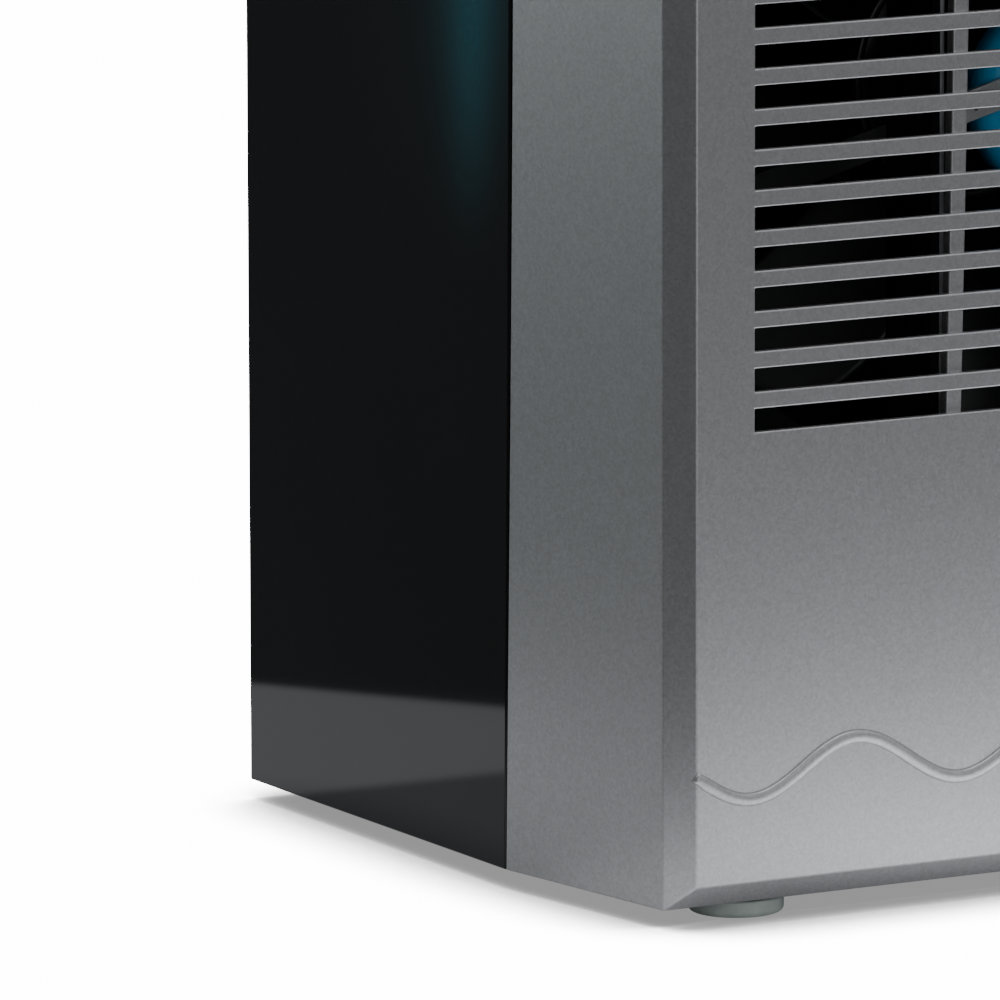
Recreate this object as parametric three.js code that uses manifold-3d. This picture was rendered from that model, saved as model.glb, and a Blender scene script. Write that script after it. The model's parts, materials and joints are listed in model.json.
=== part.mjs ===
// Tower fan: a boxy housing with a slotted silver front moulding, three axial fan units one
// above the other, swing vanes behind the ribs of the front, and the controls on top.
// Millimetres, +Z up. The front faces -Y, +X is on the right seen from the front, and the
// origin is on the floor below the middle of the housing.
import * as THREE from "three";
import { mergeVertices } from "three/addons/utils/BufferGeometryUtils.js";
import Module from "manifold-3d";

const wasm = await Module();
wasm.setup();

// ---- Driving dimensions ----

// Housing
const WIDTH = 298; // across the black side panels
const DEPTH = 206; // front face to rear face
const HEIGHT = 995; // housing alone, without its feet and knobs
const FOOT_HEIGHT = 5; // floor to the lower edge of the housing
const SKIN = 3; // wall of every moulding and panel
const FRONT_SKIN = 2.2; // wall of the front face, and so of its slats
const CHAMFER = 6.1; // round the front face
const TAPER = 8.9; // how far each side of the front moulding closes in towards the front
const BAND_DEPTH = 69.6; // front moulding at its two ends, front to back
const WAIST = 5; // how much less deep the front moulding is at mid height
const SEAM = 0.5; // visible gap between two panels
const GAP = 0.3; // clearance between pieces that touch
const RUN_GAP = 0.4; // clearance round a turning pin or shaft
const TRAY_DROP = 0.5; // how far the base tray shows below the panels

// Front grille
const LOWER_PANEL = 118.8; // plain front below the slots
const UPPER_PANEL = 155; // least plain front above the slots
const SLOT_HEIGHT = 5.7;
const SLOT_PITCH = 10;
const SLOT_MARGIN = 16.65; // plain front beside the slots
const RIBS = 3;
const RIB_WIDTH = 4.5;
const RIB_DEPTH = 3; // behind the slats
const RIB_SPREAD = 1.01; // outer ribs slightly wide of even bays at their ends
const RIB_BOW = 3.8; // and nearer the middle halfway up

// Raised wave across the lower front
const WAVE_WIDTH = 3.4;
const WAVE_RELIEF = 1;
const WAVE_LEVEL = 33.5; // centre line above the lower edge of the housing
const WAVE_SWING = 6.5;
const WAVE_LENGTH = 60.3;
const WAVE_CREST = 45.8; // first crest from the left edge of the front

// Fan units
const FANS = ["lower", "middle", "upper"];
const HUB_INSET = 70; // outer hubs inside the ends of the grille
const RAIL_FLANGE = 16; // side rail behind the fan plates
const RAIL_DEPTH = 26;
const DUCT_MARGIN = 25.7; // least plain plate round each duct
const TIP_GAP = 3; // blade tip to duct
const BLADES = 7;
const BLADE_CHORD = 46;
const BLADE_SKIN = 2.2;
const BLADE_PITCH = 33; // degrees
const HUB_RADIUS = 33;
const HUB_LENGTH = 30;
const DUCT_LENGTH = 42;
const MOTOR_RADIUS = 25;
const MOTOR_LENGTH = 44;
const MOTOR_SETBACK = 44; // motor face behind the front face
const BELL_LENGTH = 10; // enamelled front bell of the motor
const BELL_STEP = 3; // body behind it inside the bell's rim
const SHAFT_RADIUS = 4;
const STRAP_WIDTH = 7.7;
const STRAP_SKIN = 1.6;
const STRAP_TILT = 15; // degrees
const STRAP_OFFSET = 7.4; // strap above the motor's axis, clear of its bearing
const STRAP_CLEAR = 9; // bends of the strap outside the duct
const STRAP_TOE = 12;
const SCREW_REACH = 15; // strap screw from the middle of the strap
const LOCATING_REACH = 27.6; // locating hole, beside the motor
const LOCATING_RADIUS = 0.6;

// Swing vanes
const VANE_PIVOT = 15; // pivot line behind the front face
const VANE_NOSE = 7; // pivot to leading edge
const VANE_TAIL = 19; // pivot to trailing edge
const VANE_SKIN = 2.4;
const VANE_OVERLAP = 6; // vane beyond the ends of the grille
const VANE_ARM = 16; // pivot to tie bar pin
const VANE_SWING = 30; // degrees each way
const PIN_RADIUS = 2;
const RAIL_WIDTH = 9;
const RAIL_SKIN = 4;
const CRANK_X = -30;
const CRANK_RADIUS = 12;
const SWING_MOTOR_RADIUS = 24;
const SWING_MOTOR_LENGTH = 18;

// Feet, rear and controls
const FOOT_RADIUS = 12;
const FOOT_INSET_X = 29; // foot centre inside the front corner of the housing
const FOOT_INSET_Y = 20; // foot centre behind the front face, and before the rear face
const REAR_LOWER = 90;
const REAR_UPPER = 120;
const REAR_SLOT_HEIGHT = 8;
const REAR_SLOT_PITCH = 16;
const REAR_MARGIN = 14;
const FILTER_SKIN = 2.4; // foam sheet inside the rear grille
const REAR_RELIEF = 1; // rear grille proud of the rear panels, as the wave is of the front
const GRIP_WIDTH = 110;
const GRIP_HEIGHT = 34;
const GRIP_DEPTH = 30;
const INLET_WIDTH = 24;
const INLET_HEIGHT = 16;
const INLET_DEPTH = 17;
const KNOB_RADIUS = 19;
const KNOB_HEIGHT = 14;
const KNOB_SPACING = 70; // each knob from the middle of the cover
const KNOB_FLOAT = 0.8; // knob above the cover
const BUTTON_RADIUS = 8;
const BUTTON_HEIGHT = 5;
const LAMP_RADIUS = 3;
const CONTROL_Y = 5;

// ---- Places worked out from them ----

const SIDE = WIDTH / 2;
const CORNER = SIDE - TAPER;
const FRONT = -DEPTH / 2;
const REAR = DEPTH / 2;
const BOTTOM = FOOT_HEIGHT;
const TOP = BOTTOM + HEIGHT;
const INNER_SIDE = SIDE - SKIN - GAP;
const SLOTS = Math.floor((HEIGHT - LOWER_PANEL - UPPER_PANEL) / SLOT_PITCH);
const GRILLE_LOW = BOTTOM + LOWER_PANEL;
const GRILLE_HIGH = GRILLE_LOW + (SLOTS - 1) * SLOT_PITCH + SLOT_HEIGHT;
const GRILLE_HALF = CORNER - CHAMFER - SLOT_MARGIN;
const FAN_PITCH = (GRILLE_HIGH - GRILLE_LOW - 2 * HUB_INSET) / (FANS.length - 1);
const DUCT_OUTER = Math.min(INNER_SIDE - RAIL_FLANGE, FAN_PITCH / 2) - DUCT_MARGIN;
const DUCT_RADIUS = DUCT_OUTER - SKIN;
const FAN_RADIUS = DUCT_RADIUS - TIP_GAP;
const STRAP_SPAN = DUCT_OUTER + STRAP_CLEAR;
const MOTOR_FRONT = FRONT + MOTOR_SETBACK;
const MOTOR_BACK = MOTOR_FRONT + MOTOR_LENGTH;
const PLATE_FRONT = MOTOR_BACK - 5;
const HUB_FRONT = MOTOR_BACK + 6;
const HUB_BACK = HUB_FRONT + HUB_LENGTH;
const PIVOT_Y = FRONT + VANE_PIVOT;
const TIE_Y = PIVOT_Y + VANE_ARM;
const CRANK_Y = TIE_Y + 4;
const CRANK_THROW = VANE_ARM * Math.sin(THREE.MathUtils.degToRad(VANE_SWING));
const ARM_Z = GRILLE_LOW - VANE_OVERLAP - SKIN;
const TIE_TOP = ARM_Z - 1;
const TIE_SKIN = 3;
const LOWER_RAIL_TOP = ARM_Z - 4;
const UPPER_RAIL_LOW = GRILLE_HIGH + VANE_OVERLAP + 2;
const CRANK_TOP = TIE_TOP - TIE_SKIN - 8;
const CRANK_SKIN = 4;
const SHELF_TOP = CRANK_TOP - CRANK_SKIN - 3 - SWING_MOTOR_LENGTH - GAP;
const SHELF_SKIN = 2.5;
const TRAY_LOW = BOTTOM - TRAY_DROP;
const TRAY_FRONT = FRONT + CHAMFER + SKIN * Math.SQRT2 + GAP;
const COVER_LOW = TOP - SKIN;
const REAR_GRILLE_LOW = BOTTOM + REAR_LOWER;
const REAR_GRILLE_HIGH = COVER_LOW - GAP - REAR_UPPER;

const hubZ = (i) => GRILLE_LOW + HUB_INSET + i * FAN_PITCH;
const ribX = (i) => ((2 * GRILLE_HALF) / (RIBS + 1)) * RIB_SPREAD * (i - (RIBS - 1) / 2);

// Outer half width of the housing at a depth.
const TAPER_SLOPE = TAPER / (BAND_DEPTH - CHAMFER);
const sideAt = (y) => Math.min(SIDE, CORNER + (y - FRONT - CHAMFER) * TAPER_SLOPE);
const innerAt = (y) => sideAt(y) - SKIN * Math.hypot(1, TAPER_SLOPE) - GAP;

// Where the front moulding ends at a height: a shallow bow, deepest at both ends.
function seamAt(z) {
  const u = (2 * (z - BOTTOM)) / HEIGHT - 1;
  return FRONT + BAND_DEPTH - WAIST * (1 - u * u);
}

// ---- Materials ----

const paint = (color, roughness, metalness) =>
  new THREE.MeshStandardMaterial({ color, roughness, metalness });
const SILVER = paint(0x8a8d91, 0.35, 0.8);
const GLOSS_BLACK = paint(0x08080a, 0.06, 0);
const MATTE_BLACK = paint(0x101012, 0.6, 0);
const FOAM = paint(0x0c0c0d, 0.95, 0);
const TURQUOISE = paint(0x0b5a80, 0.4, 0);
const GALVANISED = paint(0x8f9498, 0.45, 0.9);
const STEEL = paint(0xb4b6b8, 0.25, 1);
const BRASS = paint(0xc09a4a, 0.3, 1);
const RUBBER = paint(0x9aa5a0, 0.85, 0);
const LAMP = paint(0xd07018, 0.15, 0);

// ---- Solids ----

function solid(geometry) {
  const bare = geometry.index ? geometry.toNonIndexed() : geometry.clone();
  bare.deleteAttribute("normal");
  bare.deleteAttribute("uv");
  const merged = mergeVertices(bare, 1e-4);
  return new wasm.Manifold(
    new wasm.Mesh({
      numProp: 3,
      vertProperties: merged.attributes.position.array,
      triVerts: new Uint32Array(merged.index.array),
    }),
  );
}

const join = (...solids) => solids.reduce((a, b) => a.add(b));
const cut = (body, ...tools) => tools.reduce((a, b) => a.subtract(b), body);

// A polygon of [u, v] points, drawn on two of the axes and extruded along the third.
const PLANES = {
  x: [new THREE.Vector3(0, 1, 0), new THREE.Vector3(0, 0, 1), new THREE.Vector3(1, 0, 0)],
  y: [new THREE.Vector3(0, 0, 1), new THREE.Vector3(1, 0, 0), new THREE.Vector3(0, 1, 0)],
  z: [new THREE.Vector3(1, 0, 0), new THREE.Vector3(0, 1, 0), new THREE.Vector3(0, 0, 1)],
};

function prismGeometry(axis, points, from, to) {
  const shape = new THREE.Shape(points.map(([u, v]) => new THREE.Vector2(u, v)));
  const geometry = new THREE.ExtrudeGeometry(shape, { depth: to - from, bevelEnabled: false });
  geometry.translate(0, 0, from);
  return geometry.applyMatrix4(new THREE.Matrix4().makeBasis(...PLANES[axis]));
}

const prism = (axis, points, from, to) => solid(prismGeometry(axis, points, from, to));

function boxGeometry([x0, x1], [y0, y1], [z0, z1]) {
  const geometry = new THREE.BoxGeometry(x1 - x0, y1 - y0, z1 - z0);
  return geometry.translate((x0 + x1) / 2, (y0 + y1) / 2, (z0 + z1) / 2);
}

const box = (x, y, z) => solid(boxGeometry(x, y, z));

// A profile of [radius, distance] points turned about an axis through a point.
function turned(axis, profile, [x, y, z], segments = 24) {
  const points = profile.map(([r, d]) => new THREE.Vector2(r, d));
  const geometry = new THREE.LatheGeometry(points, segments);
  if (axis === "z") geometry.rotateX(Math.PI / 2);
  return solid(geometry.translate(x, y, z));
}

function rod(axis, radius, from, to, centre, segments = 12) {
  return turned(axis, [[0, from], [radius, from], [radius, to], [0, to]], centre, segments);
}

// ---- The assembly ----

const group = new THREE.Group();

function add(name, body, material, angle = 0, place = [0, 0, 0]) {
  const { vertProperties, triVerts } = body.getMesh();
  const geometry = new THREE.BufferGeometry();
  geometry.setAttribute("position", new THREE.BufferAttribute(vertProperties, 3));
  geometry.setIndex(new THREE.BufferAttribute(triVerts, 1));
  const mesh = new THREE.Mesh(geometry, material);
  mesh.name = name;
  mesh.rotation.y = -angle;
  mesh.position.set(...place);
  group.add(mesh);
}

// ---- Housing ----

// The tapered block of the front moulding, shrunk by a wall at its sides and one at its face.
function frontBlock(wall, faceWall, low, high, end) {
  const slant = wall * Math.hypot(1, TAPER_SLOPE);
  const bendY = FRONT + CHAMFER + wall * (Math.SQRT2 - 1);
  const face = FRONT + faceWall;
  const rise = CHAMFER + wall * Math.SQRT2 - faceWall;
  const half = CORNER - rise;
  const back = FRONT + end;
  const plan = [
    [-half, face],
    [half, face],
    [sideAt(bendY) - slant, bendY],
    [CORNER + (end - CHAMFER) * TAPER_SLOPE - slant, back],
    [-CORNER - (end - CHAMFER) * TAPER_SLOPE + slant, back],
    [-sideAt(bendY) + slant, bendY],
  ];
  const side = [
    [face, low + rise],
    [face + rise, low],
    [back, low],
    [back, high],
    [face + rise, high],
    [face, high - rise],
  ];
  return prism("z", plan, low - 1, high + 1).intersect(prism("x", side, -WIDTH, WIDTH));
}

function seamLine(offset, from, to, steps = 12) {
  return Array.from({ length: steps + 1 }, (_, i) => {
    const z = from + ((to - from) * i) / steps;
    return [seamAt(z) + offset, z];
  });
}

function waveBead() {
  const half = CORNER - CHAMFER;
  const steps = 64;
  const line = Array.from({ length: steps + 1 }, (_, i) => {
    const x = -half + (2 * half * i) / steps;
    const turn = (2 * Math.PI * (x + half - WAVE_CREST)) / WAVE_LENGTH;
    const slope = ((-2 * Math.PI * WAVE_SWING) / WAVE_LENGTH) * Math.sin(turn);
    const level = BOTTOM + WAVE_LEVEL + WAVE_SWING * Math.cos(turn);
    return [x, level, (WAVE_WIDTH / 2) * Math.hypot(1, slope)];
  });
  const upper = line.map(([x, z, h]) => [z + h, x]);
  const lower = line.map(([x, z, h]) => [z - h, x]).reverse();
  return prism("y", [...upper, ...lower], FRONT - WAVE_RELIEF, FRONT + FRONT_SKIN / 2);
}

const RIB_STEPS = 16;

// The outer ribs bow towards the middle, as the seams beside the front do.
function rib(i) {
  const low = GRILLE_LOW - 5;
  const high = GRILLE_HIGH + 5;
  const line = Array.from({ length: RIB_STEPS + 1 }, (_, k) => {
    const u = (2 * k) / RIB_STEPS - 1;
    const x = ribX(i) - Math.sign(ribX(i)) * RIB_BOW * (1 - u * u);
    return [low + ((high - low) * k) / RIB_STEPS, x];
  });
  const left = line.map(([z, x]) => [z, x - RIB_WIDTH / 2]);
  const right = line.map(([z, x]) => [z, x + RIB_WIDTH / 2]).reverse();
  return prism("y", [...left, ...right], FRONT + FRONT_SKIN, FRONT + FRONT_SKIN + RIB_DEPTH);
}

function frontPanel() {
  const outer = frontBlock(0, 0, BOTTOM, TOP, BAND_DEPTH);
  const inner = frontBlock(SKIN, FRONT_SKIN, BOTTOM, TOP - SKIN, BAND_DEPTH + 10);
  const mouth = box([-CORNER + 8, CORNER - 8], [TRAY_FRONT, REAR], [0, BOTTOM + SKIN]);
  const behind = prism(
    "x",
    [...seamLine(0, 0, TOP + 5), [REAR, TOP + 5], [REAR, 0]],
    -WIDTH,
    WIDTH,
  );
  const slots = Array.from({ length: SLOTS }, (_, i) => {
    const z = GRILLE_LOW + i * SLOT_PITCH;
    const across = [-GRILLE_HALF, GRILLE_HALF];
    return boxGeometry(across, [FRONT - 2, FRONT + FRONT_SKIN + 2], [z, z + SLOT_HEIGHT]);
  }).map(solid);
  const ribs = Array.from({ length: RIBS }, (_, i) => rib(i));
  return join(cut(outer, inner, mouth, behind, ...slots), ...ribs, waveBead());
}

function sidePanel(side) {
  const edge = seamLine(SEAM, BOTTOM, TOP).reverse();
  const outline = [[REAR, BOTTOM], [REAR, TOP], ...edge];
  const across = side < 0 ? [-SIDE, -SIDE + SKIN] : [SIDE - SKIN, SIDE];
  return prism("x", outline, ...across);
}

const knobX = { speed: -KNOB_SPACING, timer: KNOB_SPACING };
const LAMP_X = 22;

function topCover() {
  const plate = box([-INNER_SIDE, INNER_SIDE], [seamAt(TOP) + SEAM, REAR], [COVER_LOW, TOP]);
  const hole = (x, radius) => rod("z", radius, COVER_LOW - 1, TOP + 1, [x, CONTROL_Y, 0], 24);
  return cut(
    plate,
    hole(knobX.speed, SHAFT_RADIUS + RUN_GAP),
    hole(knobX.timer, SHAFT_RADIUS + RUN_GAP),
    hole(0, BUTTON_RADIUS + RUN_GAP),
    hole(LAMP_X, LAMP_RADIUS + GAP),
  );
}

const footX = CORNER - FOOT_INSET_X;
const FEET = {
  front_left: [-footX, FRONT + FOOT_INSET_Y],
  front_right: [footX, FRONT + FOOT_INSET_Y],
  rear_left: [-footX, REAR - FOOT_INSET_Y],
  rear_right: [footX, REAR - FOOT_INSET_Y],
};
const FOOT_SCREW_RADIUS = 2;
const FOOT_SCREW_HEAD = 4;
const FOOT_BOSS = 7;

function baseTray() {
  const bend = FRONT + BAND_DEPTH;
  const back = REAR - SKIN - GAP;
  const plan = [
    [-innerAt(TRAY_FRONT), TRAY_FRONT],
    [innerAt(TRAY_FRONT), TRAY_FRONT],
    [innerAt(bend), bend],
    [INNER_SIDE, bend + SEAM],
    [INNER_SIDE, back],
    [-INNER_SIDE, back],
    [-INNER_SIDE, bend + SEAM],
    [-innerAt(bend), bend],
  ];
  const plate = prism("z", plan, TRAY_LOW, TRAY_LOW + SKIN);
  const bosses = Object.values(FEET).map(([x, y]) =>
    rod("z", FOOT_BOSS, TRAY_LOW + SKIN / 2, TRAY_LOW + 12, [x, y, 0]),
  );
  const holes = Object.values(FEET).map(([x, y]) =>
    rod("z", FOOT_SCREW_RADIUS + GAP, TRAY_LOW - 1, TRAY_LOW + 13, [x, y, 0]),
  );
  return cut(join(plate, ...bosses), ...holes);
}

function foot([x, y]) {
  const high = TRAY_LOW - GAP;
  const profile = [
    [FOOT_SCREW_RADIUS + GAP, high],
    [FOOT_SCREW_RADIUS + GAP, 2.4],
    [FOOT_SCREW_HEAD + GAP, 2.4],
    [FOOT_SCREW_HEAD + GAP, 0],
    [FOOT_RADIUS - 1, 0],
    [FOOT_RADIUS, 1],
    [FOOT_RADIUS, high],
    [FOOT_SCREW_RADIUS + GAP, high],
  ];
  return turned("z", profile, [x, y, 0], 20);
}

function footScrew([x, y]) {
  const profile = [
    [0, 0.6],
    [FOOT_SCREW_HEAD, 0.6],
    [FOOT_SCREW_HEAD, 2.4 - GAP],
    [FOOT_SCREW_RADIUS, 2.4 - GAP],
    [FOOT_SCREW_RADIUS, TRAY_LOW + 10],
    [0, TRAY_LOW + 10],
  ];
  return turned("z", profile, [x, y, 0], 12);
}

// ---- Rear ----

const REAR_Y = [REAR - SKIN, REAR];
const REAR_SCREW_X = INNER_SIDE - 16;
const REAR_SCREW_Z = REAR_GRILLE_HIGH - 8;
const REAR_SCREW_RADIUS = 1.7;
const REAR_SCREW_HEAD = 3.4;
const REAR_SCREW_SEAT = 2; // depth of the seat for its head
const REAR_TAB = 16;
const GRIP_Z = REAR_GRILLE_HIGH + REAR_UPPER / 2;
const INLET_Z = BOTTOM + 45;
const INLET_X = 80;

function rearGrille() {
  const low = REAR_GRILLE_LOW + SEAM;
  const high = REAR_GRILLE_HIGH - SEAM;
  const plate = box([-INNER_SIDE, INNER_SIDE], [REAR - SKIN, REAR + REAR_RELIEF], [low, high]);
  const slots = [];
  for (const z of rearSlots()) {
    for (const side of [-1, 1]) {
      const across = [side * 4, side * (INNER_SIDE - REAR_MARGIN)].sort((a, b) => a - b);
      slots.push(box(across, [REAR - SKIN - 1, REAR + 3], [z, z + REAR_SLOT_HEIGHT]));
    }
  }
  const face = REAR + REAR_RELIEF;
  const seats = [-REAR_SCREW_X, REAR_SCREW_X].map((x) =>
    rod("y", REAR_SCREW_HEAD + GAP, face - REAR_SCREW_SEAT, face + 1, [x, 0, REAR_SCREW_Z], 12),
  );
  return cut(plate, ...slots, ...rearScrewHoles(), ...seats);
}

function rearSlots() {
  const low = REAR_GRILLE_LOW + SEAM;
  const high = REAR_GRILLE_HIGH - SEAM;
  const rows = Math.floor((high - low - 2 * REAR_MARGIN) / REAR_SLOT_PITCH);
  const start = (low + high - (rows - 1) * REAR_SLOT_PITCH - REAR_SLOT_HEIGHT) / 2;
  return Array.from({ length: rows }, (_, row) => start + row * REAR_SLOT_PITCH);
}

// A sheet of open foam against the inside of the grille, over all its slots.
function dustFilter() {
  const back = REAR - SKIN - GAP;
  const levels = rearSlots();
  const half = INNER_SIDE - REAR_MARGIN + 3;
  const low = levels[0] - 2;
  const high = levels.at(-1) + REAR_SLOT_HEIGHT + 2;
  return box([-half, half], [back - FILTER_SKIN, back], [low, high]);
}

function rearScrewHoles() {
  return [-REAR_SCREW_X, REAR_SCREW_X].map((x) =>
    rod("y", REAR_SCREW_RADIUS + GAP, REAR - 12, REAR + 2, [x, 0, REAR_SCREW_Z], 12),
  );
}

// The tabs reach down behind the grille and take its two screws.
function rearTab(x) {
  const back = REAR - SKIN - GAP;
  const tab = [x - 8, x + 8];
  const reach = [REAR_SCREW_Z - 8, REAR_GRILLE_HIGH + REAR_TAB];
  const hook = box(tab, [back - 4, REAR - SKIN / 2], [REAR_GRILLE_HIGH, REAR_GRILLE_HIGH + REAR_TAB]);
  return join(box(tab, [back - 4, back], reach), hook);
}

function rearUpperPanel() {
  const high = COVER_LOW - GAP;
  const plate = box([-INNER_SIDE, INNER_SIDE], REAR_Y, [REAR_GRILLE_HIGH, high]);
  const half = GRIP_WIDTH / 2;
  const z = [GRIP_Z - GRIP_HEIGHT / 2, GRIP_Z + GRIP_HEIGHT / 2];
  const cup = box(
    [-half - SKIN, half + SKIN],
    [REAR - GRIP_DEPTH - SKIN, REAR - SKIN / 2],
    [z[0] - SKIN, z[1] + SKIN],
  );
  const hollow = box([-half, half], [REAR - GRIP_DEPTH, REAR + 1], z);
  const body = join(plate, cup, rearTab(-REAR_SCREW_X), rearTab(REAR_SCREW_X));
  return cut(body, hollow, ...rearScrewHoles());
}

function inletOutline(grow) {
  const half = INLET_WIDTH / 2 + grow;
  const z = [INLET_Z - INLET_HEIGHT / 2 - grow, INLET_Z + INLET_HEIGHT / 2 + grow];
  return [[INLET_X - half, INLET_X + half], z];
}

function rearLowerPanel() {
  const plate = box([-INNER_SIDE, INNER_SIDE], REAR_Y, [BOTTOM, REAR_GRILLE_LOW]);
  const [x, z] = inletOutline(2 + GAP);
  return cut(plate, box(x, [REAR - SKIN - 1, REAR + 1], z));
}

const PIN_RISE = 3; // inlet pins above the middle of the inlet
const INLET_BACK = REAR - INLET_DEPTH;

function inletSocket() {
  const [x, z] = inletOutline(2);
  const [innerX, innerZ] = inletOutline(0);
  const shell = box(x, [INLET_BACK - 3, REAR], z);
  const hollow = box(innerX, [INLET_BACK, REAR + 1], innerZ);
  const pins = [-5, 5].map((offset) => inletPinBox(offset, GAP, INLET_BACK - 5));
  return cut(shell, hollow, ...pins);
}

function inletPinBox(offset, grow, back) {
  const x = INLET_X + offset;
  const z = INLET_Z + PIN_RISE;
  const across = [x - 1 - grow, x + 1 + grow];
  return box(across, [back, REAR - 3], [z - 2 - grow, z + 2 + grow]);
}

function rearScrew(x) {
  const face = REAR + REAR_RELIEF;
  const seat = face - REAR_SCREW_SEAT + GAP;
  const profile = [
    [0, REAR - SKIN - 5],
    [REAR_SCREW_RADIUS, REAR - SKIN - 5],
    [REAR_SCREW_RADIUS, seat],
    [REAR_SCREW_HEAD, seat],
    [REAR_SCREW_HEAD - 0.8, face],
    [0, face],
  ];
  return turned("y", profile, [x, 0, REAR_SCREW_Z], 12);
}

// ---- Inner frame and fan units ----

const RAIL_FRONT = PLATE_FRONT + SKIN + GAP;
const RAIL_SHEET = 1.6;

function sideRail(side) {
  const plan = [
    [INNER_SIDE, RAIL_FRONT],
    [INNER_SIDE, RAIL_FRONT + RAIL_DEPTH],
    [INNER_SIDE - RAIL_SHEET, RAIL_FRONT + RAIL_DEPTH],
    [INNER_SIDE - RAIL_SHEET, RAIL_FRONT + RAIL_SHEET],
    [INNER_SIDE - RAIL_FLANGE, RAIL_FRONT + RAIL_SHEET],
    [INNER_SIDE - RAIL_FLANGE, RAIL_FRONT],
  ].map(([x, y]) => [side * x, y]);
  return prism("z", plan, TRAY_LOW + SKIN + GAP, COVER_LOW - GAP);
}

function fanPlate(i) {
  const half = Math.min(INNER_SIDE, innerAt(PLATE_FRONT));
  const z = [hubZ(i) - FAN_PITCH / 2 + GAP, hubZ(i) + FAN_PITCH / 2 - GAP];
  const plate = box([-half, half], [PLATE_FRONT, PLATE_FRONT + SKIN], z);
  const at = [0, 0, hubZ(i)];
  const sleeve = rod("y", DUCT_OUTER, PLATE_FRONT, PLATE_FRONT + DUCT_LENGTH, at, 40);
  const bore = rod("y", DUCT_RADIUS, PLATE_FRONT - 1, PLATE_FRONT + DUCT_LENGTH + 1, at, 40);
  return cut(join(plate, sleeve), bore);
}

// The strap lies in the turned frame of one fan unit: u runs along it and z across it.
const tilt = THREE.MathUtils.degToRad(STRAP_TILT);
const STRAP_BACK = MOTOR_FRONT - GAP;
const STRAP_FRONT = STRAP_BACK - STRAP_SKIN;
const STRAP_TOE_BACK = PLATE_FRONT - GAP;
const STRAP_SCREW_RADIUS = 1.6;

function strap() {
  const outer = STRAP_SPAN;
  const toe = STRAP_TOE_BACK - STRAP_SKIN;
  const left = [
    [-outer - STRAP_TOE, toe],
    [-outer, toe],
    [-outer, STRAP_FRONT],
  ];
  const mirrored = left.map(([u, y]) => [-u, y]).reverse();
  const back = [
    [outer + STRAP_TOE, STRAP_TOE_BACK],
    [outer - STRAP_SKIN, STRAP_TOE_BACK],
    [outer - STRAP_SKIN, STRAP_BACK],
  ];
  const backLeft = back.map(([u, y]) => [-u, y]).reverse();
  const outline = [...left, ...mirrored, ...back, ...backLeft];
  const half = STRAP_WIDTH / 2;
  const band = prism("z", outline, STRAP_OFFSET - half, STRAP_OFFSET + half);
  const locating = [-LOCATING_REACH, 0, STRAP_OFFSET - 1];
  const hole = rod("y", LOCATING_RADIUS, STRAP_FRONT - 1, STRAP_BACK + 1, locating, 12);
  return cut(band, strapScrewHole(STRAP_FRONT - 1), hole);
}

function strapScrewHole(from) {
  const at = [-SCREW_REACH, 0, STRAP_OFFSET];
  return rod("y", STRAP_SCREW_RADIUS + GAP, from, MOTOR_FRONT + 9, at, 12);
}

function strapScrew() {
  const profile = [
    [0, STRAP_FRONT - 1.6],
    [2.2, STRAP_FRONT - 1.6],
    [3, STRAP_FRONT - GAP],
    [STRAP_SCREW_RADIUS, STRAP_FRONT - GAP],
    [STRAP_SCREW_RADIUS, MOTOR_FRONT + 8],
    [0, MOTOR_FRONT + 8],
  ];
  return turned("y", profile, [-SCREW_REACH, 0, STRAP_OFFSET], 12);
}

const BEARING_RADIUS = 9;

function motor() {
  const round = 3;
  const profile = [
    [0, MOTOR_FRONT],
    [MOTOR_RADIUS - round, MOTOR_FRONT],
    [MOTOR_RADIUS, MOTOR_FRONT + round],
    [MOTOR_RADIUS, MOTOR_FRONT + BELL_LENGTH],
    [MOTOR_RADIUS - BELL_STEP, MOTOR_FRONT + BELL_LENGTH],
    [MOTOR_RADIUS - BELL_STEP, MOTOR_BACK - round],
    [MOTOR_RADIUS - BELL_STEP - round, MOTOR_BACK],
    [BEARING_RADIUS, MOTOR_BACK],
    [BEARING_RADIUS, MOTOR_BACK + 3],
    [0, MOTOR_BACK + 3],
  ];
  const body = turned("y", profile, [0, 0, 0], 28);
  const bore = rod("y", SHAFT_RADIUS + RUN_GAP, MOTOR_BACK - 16, MOTOR_BACK + 5, [0, 0, 0], 12);
  return cut(body, bore, strapScrewHole(MOTOR_FRONT - 1));
}

const motorShaft = () => rod("y", SHAFT_RADIUS, MOTOR_BACK - 14, HUB_BACK - 2, [0, 0, 0], 12);

function bladeGeometry() {
  const root = HUB_RADIUS - 4;
  const tip = FAN_RADIUS + 6;
  const outline = [
    [-0.3 * BLADE_CHORD, root],
    [0.3 * BLADE_CHORD, root],
    [0.48 * BLADE_CHORD, 0.6 * tip],
    [0.5 * BLADE_CHORD, tip],
    [-0.62 * BLADE_CHORD, tip],
    [-0.5 * BLADE_CHORD, 0.6 * tip],
  ];
  const geometry = prismGeometry("y", outline.map(([u, v]) => [v, u]), 0, BLADE_SKIN);
  geometry.translate(0, -BLADE_SKIN / 2, 0);
  return geometry.rotateZ(THREE.MathUtils.degToRad(BLADE_PITCH));
}

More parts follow.
